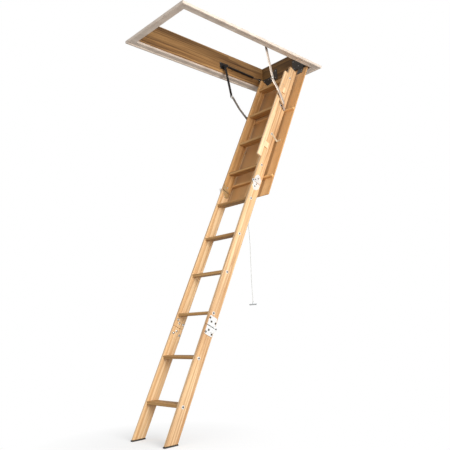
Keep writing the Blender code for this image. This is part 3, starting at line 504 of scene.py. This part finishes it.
def make_materials():
    """Every finish on the ladder, by name."""
    pine = (tone("EACDA4"), tone("D8B284"), tone("96653A"))
    return {
        "stile": wood("stile_pine", *pine, ALONG_LADDER, dullness=0.46, figure=10.0, contrast=2.0, streak=85),
        # the left stiles are the same pine as the right ones: a darker copy for the upper stile is painted
        # shade, a lighter copy for the lower two is painted light
        "stile_left_painted_shade": wood("stile_pine_left_painted_shade", tone("DDB37F"), tone("CA9A62"), tone("966737"), ALONG_LADDER,
                           dullness=0.5, shift=(0.4, 0.2, 0.3), contrast=1.3),
        "stile_left_low_painted_light": wood("stile_pine_left_low_painted_light", tone("F4D2A6"), tone("E6BD8B"), tone("B5824F"),
                               ALONG_LADDER, dullness=0.5, shift=(0.9, 0.6, 0.2), contrast=1.3),
        "tread": wood("tread_pine", tone("D2A970"), tone("B98C57"), tone("80572C"), WORLD_GRAIN, "x",
                      dullness=0.52, figure=12.0, contrast=1.3),
        "rail": wood("rail_pine", tone("F7DAB4"), tone("EAC599"), tone("AE7E4C"), ALONG_LADDER, dullness=0.44,
                     shift=(0.7, 0.1, 0.5), contrast=1.8, streak=85),
        "panel": wood("panel_plywood", tone("E4B67F"), tone("CE9C65"), tone("9C6D3C"), ALONG_LADDER,
                      dullness=0.55, shift=(0.2, 0.9, 0.1), figure=3.2, contrast=0.5),
        "batten": wood("batten_pine", tone("E9BE88"), tone("D6A367"), tone("A06C35"), WORLD_GRAIN, "x",
                       shift=(0.1, 0.4, 0.6)),
        # the boards' tones are a darker spruce and also painted shade for the inside of the hatch; the end
        # boards are darker still
        "board": wood("board_spruce", tone("CA9B62"), tone("AC7E4A"), tone("4C2F15"), WORLD_GRAIN, "y",
                      dullness=0.62, figure=8.0, contrast=2.2, streak=120),
        "end_board": wood("end_board_spruce", tone("94703F"), tone("74522C"), tone("33200F"), WORLD_GRAIN,
                          "x", dullness=0.62, shift=(0.3, 0.5, 0.2), figure=8.0, contrast=2.0, streak=120),
        "casing": painted("casing_paint_coat", tone("E2D4C6"), tone("C6B6A8")),
        "zinc": plated_steel("zinc_plate", tone("F6F7F7"), tone("CFD1D2"), 0.34, 0.5),
        "nickel": plated_steel("bright_fastener", tone("D9D8D4"), tone("8F8A82"), 0.28, 0.9),
        "dark_fastener": plated_steel("dark_fastener", tone("6E665C"), tone("3A342E"), 0.4, 0.8),
        "arm": plated_steel("arm_plate", tone("CDBFB2"), tone("97877A"), 0.40, 0.45),
        # painted shade: a darkened copy of the arm plate, for the left lower arm
        "grey_arm_painted_shade": plated_steel("grey_arm_plate_painted_shade", tone("8F8B87"), tone("4E4A46"), 0.4, 0.6),
        "yellow_zinc": plated_steel("yellow_zinc_plate", tone("DDBE8A"), tone("A07E4C"), 0.36, 0.55),
        "hinge_steel": coated_steel("hinge_coat", tone("47403A"), tone("857F78")),
        "pale_zinc": plated_steel("pale_zinc_plate", tone("E6D8BE"), tone("A8916E"), 0.38, 0.45),
        "black": coated_steel("black_coat", tone("201B18"), tone("8C8A86")),
        "rod": plated_steel("polished_rod", tone("C9C7C4"), tone("8D8A86"), 0.16, 1.0),
        "rubber": rubber("foot_rubber"),
        "handle": plastic("handle_plastic", tone("C2C6C8"), tone("A3A9AC")),
        "lip": coated_steel("hinge_lip", tone("332F2C"), tone("8A8782")),
        "cord": braided("cord_braid", tone("C2C2BC"), tone("8B8B84")),
    }


# which CAD nodes take which finish, by how their names start; the first row that fits counts
FINISHES = (
    ("frame_board_hinge_end", "end_board"), ("frame_board_free_end", "end_board"), ("frame_board", "board"),
    ("trim", "casing"), ("door_panel", "panel"), ("door_batten", "batten"),
    ("hatch_hinge", "hinge_steel"), ("arm_bracket", "black"),
    ("cord_eye", "nickel"), ("cord_handle", "handle"),
    # the left arms are the same steel as the right ones, and their dark finishes are painted shade: the black
    # coat on the upper arm, the darkened arm plate on the lower
    ("upper_arm_left", "black"), ("lower_arm_left", "grey_arm_painted_shade"), ("upper_arm", "arm"), ("lower_arm", "arm"),
    ("strut_rod", "rod"), ("strut_cylinder", "black"), ("foot_pad", "rubber"),
    ("front_hinge", "zinc"), ("rear_hinge", "zinc"), ("stile_bracket", "pale_zinc"), ("handrail", "rail"),
    # the left stiles take the darker copy of the stile pine (painted shade) and the lighter copy (painted
    # light)
    ("upper_stile_left", "stile_left_painted_shade"), ("middle_stile_left", "stile_left_low_painted_light"),
    ("lower_stile_left", "stile_left_low_painted_light"),
    ("upper_stile", "stile"), ("middle_stile", "stile"), ("lower_stile", "stile"),
    ("upper_step", "tread"), ("middle_step", "tread"), ("lower_step", "tread"),
)


def finish_nodes(materials):
    """Puts the finishes on the CAD nodes; the cord's node is replaced and needs none."""
    for name, node in NODES.items():
        if name == "pull_cord":
            continue
        finish = next(key for start, key in FINISHES if name.startswith(start))
        node.data.materials.clear()
        node.data.materials.append(materials[finish])


# ---------------------------------------------------------------- camera, cord, stage and light

def make_camera():
    """The viewing angle, from below and to the right of the hatch."""
    ahead = Vector((-math.sin(CAMERA_YAW), math.cos(CAMERA_YAW), 0))
    right = Vector((math.cos(CAMERA_YAW), math.sin(CAMERA_YAW), 0))
    up = Vector((0, 0, 1))
    forward = ahead * math.cos(CAMERA_PITCH) + up * math.sin(CAMERA_PITCH)
    upward = -ahead * math.sin(CAMERA_PITCH) + up * math.cos(CAMERA_PITCH)
    x_axis = right * math.cos(CAMERA_ROLL) + upward * math.sin(CAMERA_ROLL)
    y_axis = -right * math.sin(CAMERA_ROLL) + upward * math.cos(CAMERA_ROLL)
    data = bpy.data.cameras.new("camera")
    data.lens = CAMERA_LENS
    camera = bpy.data.objects.new("camera", data)
    bpy.context.scene.collection.objects.link(camera)
    turn = Matrix((x_axis, y_axis, -forward)).transposed().to_4x4()
    camera.matrix_world = Matrix.Translation(CAMERA_PLACE) @ turn
    bpy.context.scene.camera = camera


def catmull_rom(points, count):
    """Evenly parameterised smooth route through the given points."""
    padded = [points[0] * 2 - points[1], *points, points[-1] * 2 - points[-2]]
    route = []
    spans = len(points) - 1
    for step in range(count):
        place = spans * step / (count - 1)
        index = min(int(place), spans - 1)
        t = place - index
        a, b, c, d = padded[index:index + 4]
        route.append(0.5 * (2 * b + (c - a) * t + (2 * a - 5 * b + 4 * c - d) * t * t
                            + (3 * b - a - 3 * c + d) * t ** 3))
    return route


def knot(name, middle, size, material):
    """Small overhand knot, a tight trefoil round the cord's line."""
    points = []
    for step in range(KNOT_POINTS):
        t = 2 * math.pi * step / KNOT_POINTS
        points.append(middle + Vector((size * (math.sin(t) + 2 * math.sin(2 * t)) / 3,
                                       size * (math.cos(t) - 2 * math.cos(2 * t)) / 3,
                                       -size * 0.55 * math.sin(3 * t))))
    return tube(name, points, CORD_D * 0.46, material, "pull_cord", closed=True)


def make_cord(materials):
    """The pull cord, from the screw eye down to its T-handle."""
    eye = Vector(JOINTS["pull_cord_hang"]["pos_m"])
    top = eye.z - CORD_TURNS_CLEAR
    end = BOARD_UNDERSIDE - HANDLE_DROP + HANDLE_NECK
    guides = [Vector((0, eye.y + dy, top - (top - end) * share)) for share, dy in CORD_SWAY]
    route = catmull_rom(guides, CORD_POINTS)
    cord = tube("cord", route, CORD_D / 2, materials["cord"], "pull_cord", resolution=4)
    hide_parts("pull_cord")
    loop_centre = eye + Vector((0, 0, -BOW_DROP))
    loop = []
    for step in range(BOW_POINTS):
        t = 2 * math.pi * step / BOW_POINTS
        loop.append(loop_centre + Vector((BOW_HALF.x * math.cos(t), BOW_HALF.y * math.sin(2 * t),
                                          BOW_HALF.z * math.sin(t))))
    bow = tube("cord_bow", loop, CORD_D * 0.42, materials["cord"], "pull_cord", closed=True)
    upper = knot("cord_knot_upper", eye + Vector((0, 0, -KNOT_DROP)), UPPER_KNOT, materials["cord"])
    lower = knot("cord_knot_lower", Vector((0, eye.y, end + KNOT_RISE)), LOWER_KNOT, materials["cord"])


def flat_sheet(name, z, rectangles):
    """Level sheet of rectangles, each (x0, y0, x1, y1)."""
    builder = bmesh.new()
    for x0, y0, x1, y1 in rectangles:
        builder.faces.new([builder.verts.new((x, y, z)) for x, y in ((x0, y0), (x1, y0), (x1, y1), (x0, y1))])
    mesh = bpy.data.meshes.new(name)
    builder.to_mesh(mesh)
    builder.free()
    obj = bpy.data.objects.new(name, mesh)
    bpy.context.scene.collection.objects.link(obj)
    return obj


def make_floor():
    """Pale floor with a soft shadow round the feet, running out to plain white."""
    low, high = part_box("foot_pad_left")[0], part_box("foot_pad_right")[1]
    middle = (low + high) / 2
    obj = flat_sheet("floor", low.z - FLOOR_BELOW, [(-FLOOR_REACH, -FLOOR_REACH, FLOOR_REACH, FLOOR_REACH)])
    surface = Surface("floor_pale")
    place = surface.node("ShaderNodeTexCoord").outputs["Object"]
    away = surface.node("ShaderNodeVectorMath", {"operation": "DISTANCE"})
    surface.links.new(place, away.inputs[0])
    away.inputs[1].default_value = (middle.x, middle.y, low.z)
    fade = surface.span(away.outputs["Value"], SHADOW_DEPTH, 1.0, SHADOW_FROM, SHADOW_TO)
    surface.finish((0.93, 0.93, 0.93, 1), 0.85)
    glow = surface.node("ShaderNodeEmission")
    blend = surface.node("ShaderNodeMixShader")
    surface.links.new(fade, blend.inputs[0])
    surface.links.new(surface.shader.outputs[0], blend.inputs[1])
    surface.links.new(glow.outputs[0], blend.inputs[2])
    paths = surface.node("ShaderNodeLightPath")
    plain = surface.node("ShaderNodeBsdfDiffuse", Color=(0.46, 0.45, 0.44, 1))
    seen = surface.node("ShaderNodeMixShader")
    surface.links.new(paths.outputs["Is Camera Ray"], seen.inputs[0])
    surface.links.new(plain.outputs[0], seen.inputs[1])
    surface.links.new(blend.outputs[0], seen.inputs[2])
    one_sided(surface, seen.outputs[0])
    obj.data.materials.append(surface.material)


def one_sided(surface, shader):
    """Ends the sheet's material so that the sheet vanishes when it is looked at from its back."""
    geometry = surface.node("ShaderNodeNewGeometry")
    clear = surface.node("ShaderNodeBsdfTransparent")
    either = surface.node("ShaderNodeMixShader")
    surface.links.new(geometry.outputs["Backfacing"], either.inputs[0])
    surface.links.new(shader, either.inputs[1])
    surface.links.new(clear.outputs[0], either.inputs[2])
    surface.links.new(either.outputs[0], surface.nodes["Material Output"].inputs[0])


def make_ceiling():
    """Strips of white ceiling beside the casing, on the camera's two sides and seen only from below."""
    low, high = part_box("trim_left")[0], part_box("trim_right")[1]
    inset, right_reach, near_reach, below_top = 0.008, 0.19, 0.16, 0.0005
    right_strip = (high.x - inset, low.y - near_reach, high.x + right_reach, high.y - inset)
    near_strip = (low.x + inset, low.y - near_reach, high.x - inset, low.y + inset)
    obj = flat_sheet("ceiling", high.z - below_top, [right_strip, near_strip])
    obj.data.flip_normals()
    surface = Surface("ceiling_white")
    glow = surface.node("ShaderNodeEmission")
    one_sided(surface, glow.outputs[0])
    obj.data.materials.append(surface.material)
    obj.visible_shadow = False
    obj.visible_diffuse = False
    obj.visible_glossy = False


def area_light(name, place, target, size, energy, colour):
    """Square lamp of that size in metres, turned to the target."""
    data = bpy.data.lights.new(name, "AREA")
    data.shape = "SQUARE"
    data.size = size
    data.energy = energy
    data.color = colour
    light = bpy.data.objects.new(name, data)
    bpy.context.scene.collection.objects.link(light)
    light.location = place
    light.rotation_euler = (Vector(target) - Vector(place)).to_track_quat("-Z", "Y").to_euler()


def make_light():
    """Soft light from the right, a weak fill from the front, and even white all round."""
    bpy.context.scene.view_settings.view_transform = "Standard"
    world = bpy.data.worlds.new("surroundings")
    bpy.context.scene.world = world
    world.use_nodes = True
    nodes, links = world.node_tree.nodes, world.node_tree.links
    background = nodes["Background"]
    background.inputs["Color"].default_value = (0.96, 0.98, 1.0, 1)
    background.inputs["Strength"].default_value = 0.55
    backdrop = nodes.new("ShaderNodeBackground")
    backdrop.inputs["Strength"].default_value = 1.0
    backdrop.inputs["Color"].default_value = (1, 1, 1, 1)
    paths = nodes.new("ShaderNodeLightPath")
    blend = nodes.new("ShaderNodeMixShader")
    links.new(paths.outputs["Is Camera Ray"], blend.inputs[0])
    links.new(background.outputs[0], blend.inputs[1])
    links.new(backdrop.outputs[0], blend.inputs[2])
    links.new(blend.outputs[0], nodes["World Output"].inputs[0])
    area_light("key", (4.6, -1.6, -0.9), LIT_POINT, size=2.6, energy=270, colour=(1.0, 0.985, 0.96))
    area_light("fill", (0.6, -5.2, -1.4), LIT_POINT, size=2.4, energy=40, colour=(1.0, 0.99, 0.98))


# ---------------------------------------------------------------- fasteners

STEP_BOLT_FORWARD = 0.0101      # bolts sit this far in front of each tread's middle
STEP_BOLT_DOWN = {"upper": 0.001, "middle": 0.004, "lower": 0.007}
FRONT_HINGE_RIVETS = {"upper_leaf": ((1.2276, 0.085), (1.205, 0.062)),
                      "lower_leaf": ((1.2564, 0.064), (1.279, 0.072))}
REAR_HINGE_BOLTS = {"upper_leaf": ((2.341, 0.067), (2.338, 0.032), (2.321, 0.086)),
                    "lower_leaf": ((2.397, 0.067), (2.417, 0.086), (2.415, 0.035))}
INNER_PLATE_UPPER = ((1.190, 0.098), (1.2405, 0.098), (1.2405, 0.042), (1.226, 0.042))
INNER_PLATE_LOWER = ((1.2455, 0.098), (1.262, 0.098), (1.296, 0.062), (1.277, 0.028), (1.2455, 0.028))
PLATE_T = 0.0014
PLATE_CORNER = 0.004
# the dark sheet under each inner backing plate is a painted shadow round the plate: its thickness and margin
SHADOW_RIM_T = 0.0008
SHADOW_RIM_MARGIN = 0.0020
ELBOW = Vector((0, -0.459, -0.303))
ELBOW_OUTER = 0.2305            # outer face of the upper arms
ELBOW_INNER = 0.2202            # inner face of the lower arms
LIP_START, LIP_END = 0.0115, 0.0750     # a rear hinge lip's ends, out from the axis across the stile
LIP_MIDDLE, LIP_RADIUS = 0.0012, 0.0011
SECTION_BODY = {"upper": "door", "middle": "middle_section", "lower": "lower_section"}


def step_bolts(materials):
    """A round-headed bolt and a bright washer through each stile into each tread."""
    for section, body in SECTION_BODY.items():
        steps = sorted(name for name in NODES if name.startswith(f"{section}_step_"))
        for side, sign in SIDES:
            places = []
            for name in steps:
                middle = centre(name) + Vector((0, -STEP_BOLT_FORWARD, 0)) + DOWN * STEP_BOLT_DOWN[section]
                places.append((Vector((sign * STILE_FACE, middle.y, middle.z)), ACROSS * sign))
            fasteners(f"{section}_step_washers_{side}", body, materials["zinc"],
                      (washer(radius=0.0108, thickness=0.0010), ROUND_SEGMENTS), places)
            fasteners(f"{section}_step_bolts_{side}", body, materials["dark_fastener"],
                      dome_bolt(radius=0.0058, height=0.0036, washer_radius=0.0064, washer_t=0.0012), places)


def section_hinge_fasteners(materials):
    """Rivets in the front hinges; bolts with nuts inside in the rear hinges."""
    bodies = {"front": {"upper_leaf": "door", "lower_leaf": "middle_section"},
              "rear": {"upper_leaf": "middle_section", "lower_leaf": "lower_section"}}
    heads = {"front": rivet(radius=0.0056, height=0.0030),
             "rear": hex_bolt(flat=0.0054, height=0.0034, washer_radius=0.0070)}
    nuts = {"front": rivet(radius=0.0062, height=0.0018),
            "rear": nut(flat=0.0062, height=0.0046, thread=0.0036, washer_radius=0.0088)}
    for hinge, table in (("front", FRONT_HINGE_RIVETS), ("rear", REAR_HINGE_BOLTS)):
        for leaf, spots in table.items():
            body = bodies[hinge][leaf]
            for side, sign in SIDES:
                outer = [(at(sign * LEAF_FACE, s, n), ACROSS * sign) for s, n in spots]
                inner = [(at(sign * STILE_INNER, s, n), -ACROSS * sign) for s, n in spots]
                fasteners(f"{hinge}_hinge_{leaf}_heads_{side}", body, materials["dark_fastener"],
                          heads[hinge], outer)
                fasteners(f"{hinge}_hinge_{leaf}_nuts_{side}", body, materials["nickel"],
                          nuts[hinge], inner)


def hinge_pins_and_lips(materials):
    """Pin heads of the section hinges, and the dark rolled lips where the rear leaves meet."""
    rear_lips = (("upper", "middle_section", -1), ("lower", "lower_section", 1))
    for hinge, joint, pin_body, lips in (("front", "middle_hinge", "middle_section", ()),
                                         ("rear", "lower_hinge", "lower_section", rear_lips)):
        axis = Vector(JOINTS[joint]["pos_m"])
        s, n = on_ladder(axis)
        for side, sign in SIDES:
            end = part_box(f"{hinge}_hinge_lower_leaf_{side}")[1 if sign > 0 else 0].x
            fasteners(f"{hinge}_hinge_pin_{side}", pin_body, materials["lip"],
                      rivet(radius=0.0052, height=0.0009), [(Vector((end, axis.y, axis.z)), ACROSS * sign)])
            for label, body, reach in lips:
                hinge_lip(f"rear_hinge_{label}_lip_{side}", sign, s, n, reach, materials["lip"], body)


def hinge_lip(name, sign, s, n, reach, material, body):
    """Half-round lip along one side of the joint line, across the stile."""
    builder = bmesh.new()
    axes = Matrix((ACROSS * sign, DOWN * reach, FRONT)).transposed().to_4x4()
    place = Matrix.Translation(at(sign * STILE_FACE, s, n)) @ axes
    gap = LIP_MIDDLE - LIP_RADIUS
    rows = []
    for along in (LIP_START, LIP_START + 0.001, LIP_END - 0.001, LIP_END):
        swell = 0.8 if along in (LIP_START, LIP_END) else 1.0
        row = [builder.verts.new(place @ Vector((-SUNK, y, along))) for y in (gap, LIP_MIDDLE + LIP_RADIUS)]
        for step in range(7):
            turn = math.pi * step / 6
            row.append(builder.verts.new(place @ Vector((LIP_MIDDLE + LIP_RADIUS * swell * math.sin(turn),
                                                         LIP_MIDDLE + LIP_RADIUS * math.cos(turn), along))))
        rows.append(row)
    for first, second in zip(rows, rows[1:]):
        for step in range(len(first)):
            after = (step + 1) % len(first)
            builder.faces.new((first[step], first[after], second[after], second[step]))
    builder.faces.new(reversed(rows[0]))
    builder.faces.new(rows[-1])
    return piece(name, builder, material, body)


def arm_rivets(materials):
    """Bright domed rivets on both faces of each elbow."""
    for side, sign in SIDES:
        for label, x, outward in (("upper", ELBOW_OUTER, 1), ("lower", ELBOW_INNER, -1)):
            place = Vector((sign * x, ELBOW.y, ELBOW.z))
            fasteners(f"elbow_rivet_{label}_{side}", f"{label}_arm_{side}", materials["nickel"],
                      rivet(radius=0.0105, height=0.0052), [(place, ACROSS * sign * outward)])


def plate(name, outline, sign, thickness, material, body):
    """Thin plate on a stile's inner face; the outline is (down, front) points, with eased edges."""
    builder = bmesh.new()
    face = builder.faces.new([builder.verts.new(at(sign * STILE_INNER, s, n)) for s, n in outline])
    raised = bmesh.ops.extrude_face_region(builder, geom=[face])
    moved = [item for item in raised["geom"] if isinstance(item, bmesh.types.BMVert)]
    bmesh.ops.translate(builder, verts=moved, vec=-ACROSS * sign * thickness)
    corners = [edge for edge in builder.edges
               if abs((edge.verts[0].co - edge.verts[1].co).x) > thickness / 2]
    bmesh.ops.bevel(builder, geom=corners, offset=PLATE_CORNER, segments=3, affect="EDGES")
    rims = [edge for edge in builder.edges
            if all(vert.co.x * sign < STILE_INNER - thickness / 2 for vert in edge.verts)]
    bmesh.ops.bevel(builder, geom=rims, offset=thickness * 0.3, segments=2, affect="EDGES")
    return piece(name, builder, material, body)


def grown(outline, reach):
    """The outline with each point moved away from the middle by reach in both directions."""
    middle = [sum(values) / len(outline) for values in zip(*outline)]
    return [tuple(value + math.copysign(reach, value - mid) for value, mid in zip(point, middle))
            for point in outline]


def inner_hinge_plates(materials):
    """Slanted backing plates, each on a slightly larger dark sheet that is a painted shadow round it, on the
    inner faces under the front hinges' rivets.
    """
    for side, sign in SIDES:
        for label, body, outline in (("upper", "door", INNER_PLATE_UPPER),
                                     ("lower", "middle_section", INNER_PLATE_LOWER)):
            plate(f"front_hinge_backing_{label}_{side}", outline, sign, PLATE_T,
                  materials["yellow_zinc"], body)
            plate(f"front_hinge_gasket_{label}_{side}", grown(outline, SHADOW_RIM_MARGIN), sign, SHADOW_RIM_T,
                  materials["black"], body)


# screws: x across, s down the stiles, y and z in the frame
BATTENS = ("door_batten_upper", "door_batten_lower")
BATTEN_FRONT_N = 0.0192
PANEL_HALF_T = 0.0045
STILE_MIDDLE = 0.1605
PANEL_SCREW_S = (0.14, 0.36, 0.62, 0.88, 1.13)
BATTEN_SCREW_X = (-0.235, -0.10, 0.0, 0.10, 0.235)
BRACKET_FOOT = 0.0125           # from a stile bracket's centre down to its foot's screw
BRACKET_FOOT_X, BRACKET_FOOT_N = 0.192, 0.0012
BRACKET_SIDE_S, BRACKET_SIDE_N = 0.7745, 0.064
LEAF_SCREW_S, LEAF_SCREW_X, LEAF_SCREW_N = (0.022, 0.045), (0.163, 0.198), 0.0008
RAIL_SCREW_APART = 0.014        # half of the way between a handrail block's two screws
RAIL_SCREW_BACK = 0.004
BOARD_HALF_T = 0.0095
CORNER_SCREW_Z = (-0.06, 0.0, 0.06)
HINGE_PLATE_T = 0.0033
HINGE_PLATE_XZ = ((0.100, 0.012), (0.104, -0.050), (0.150, -0.040), (0.190, -0.040), (0.236, -0.036))
HINGE_WALL_YZ = ((-0.048, -0.030), (-0.070, -0.058))
BRACKET_T = 0.003
BRACKET_SCREW_IN = 0.007


def door_screws(materials):
    """Screws through the panel into the stiles and battens, and the small brackets' own screws."""
    back_n = on_ladder(centre("door_panel"))[1] - PANEL_HALF_T
    places = []
    for x in (-STILE_MIDDLE, STILE_MIDDLE):
        for s in PANEL_SCREW_S:
            places.append((at(x, s, back_n), -FRONT))
    for name in BATTENS:
        s = on_ladder(centre(name))[0]
        for x in BATTEN_SCREW_X:
            places.append((at(x, s, back_n), -FRONT))
    fasteners("door_panel_screws", "door", materials["nickel"], screw(radius=0.0042), places)

    places = []
    foot_s = on_ladder(centre("stile_bracket_right"))[0] + BRACKET_FOOT
    for _, sign in SIDES:
        places.append((at(sign * BRACKET_FOOT_X, foot_s, BRACKET_FOOT_N), FRONT))
        places.append((at(sign * LEAF_FACE, BRACKET_SIDE_S, BRACKET_SIDE_N), ACROSS * sign))
        for s in LEAF_SCREW_S:
            for x in LEAF_SCREW_X:
                places.append((at(sign * x, s, LEAF_SCREW_N), FRONT))
    fasteners("door_fitting_screws", "door", materials["nickel"], screw(radius=0.0034), places)

    places = []
    for name in BATTENS:
        s = on_ladder(centre(name))[0]
        for x in (BATTEN_SCREW_X[0], BATTEN_SCREW_X[-1]):
            places.append((at(x, s, BATTEN_FRONT_N), FRONT))
    fasteners("batten_screws", "door", materials["dark_fastener"], screw(radius=0.0032), places)


def handrail_screws(materials):
    """Two screws through the handrail into each of its blocks."""
    rail_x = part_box("handrail")[1].x
    n = on_ladder(centre("handrail"))[1] - RAIL_SCREW_BACK
    places = []
    for name in ("handrail_block_upper", "handrail_block_lower"):
        s = on_ladder(centre(name))[0]
        for offset in (-RAIL_SCREW_APART, RAIL_SCREW_APART):
            places.append((at(rail_x, s + offset, n), ACROSS))
    fasteners("handrail_screws", "door", materials["nickel"], screw(radius=0.0038), places)


def frame_screws(materials):
    """Screws at the board corners, in the hinge plates and in the arm brackets."""
    outer_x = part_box("frame_board_right")[1].x
    end_low, end_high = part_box("frame_board_free_end")[0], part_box("frame_board_hinge_end")[1]
    places = []
    for _, sign in SIDES:
        for end_y in (end_low.y + BOARD_HALF_T, end_high.y - BOARD_HALF_T):
            for z in CORNER_SCREW_Z:
                places.append((Vector((sign * outer_x, end_y, z)), ACROSS * sign))
    fasteners("corner_screws", "frame", materials["dark_fastener"], screw(radius=0.0042), places)

    places = []
    plate_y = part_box("frame_board_hinge_end")[0].y - HINGE_PLATE_T
    wall_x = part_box("hatch_hinge_bracket_right")[1].x - BRACKET_T
    for _, sign in SIDES:
        for x, z in HINGE_PLATE_XZ:
            places.append((Vector((sign * x, plate_y, z)), Vector((0, -1, 0))))
        for y, z in HINGE_WALL_YZ:
            places.append((Vector((sign * wall_x, y, z)), -ACROSS * sign))
    fasteners("hinge_plate_screws", "frame", materials["nickel"], screw(radius=0.0036), places)

    places = []
    low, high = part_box("arm_bracket_right")
    plate_x = high.x - BRACKET_T
    for _, sign in SIDES:
        for y in (low.y + BRACKET_SCREW_IN, high.y - BRACKET_SCREW_IN):
            for z in (low.z + BRACKET_SCREW_IN, high.z - BRACKET_SCREW_IN):
                places.append((Vector((sign * plate_x, y, z)), -ACROSS * sign))
    fasteners("arm_bracket_screws", "frame", materials["nickel"], screw(radius=0.0030), places)


def make_fasteners(materials):
    step_bolts(materials)
    section_hinge_fasteners(materials)
    hinge_pins_and_lips(materials)
    inner_hinge_plates(materials)
    arm_rivets(materials)
    door_screws(materials)
    handrail_screws(materials)
    frame_screws(materials)


def main():
    make_camera()
    materials = make_materials()
    make_cord(materials)
    finish_nodes(materials)
    make_fasteners(materials)
    make_floor()
    make_ceiling()
    make_light()


main()
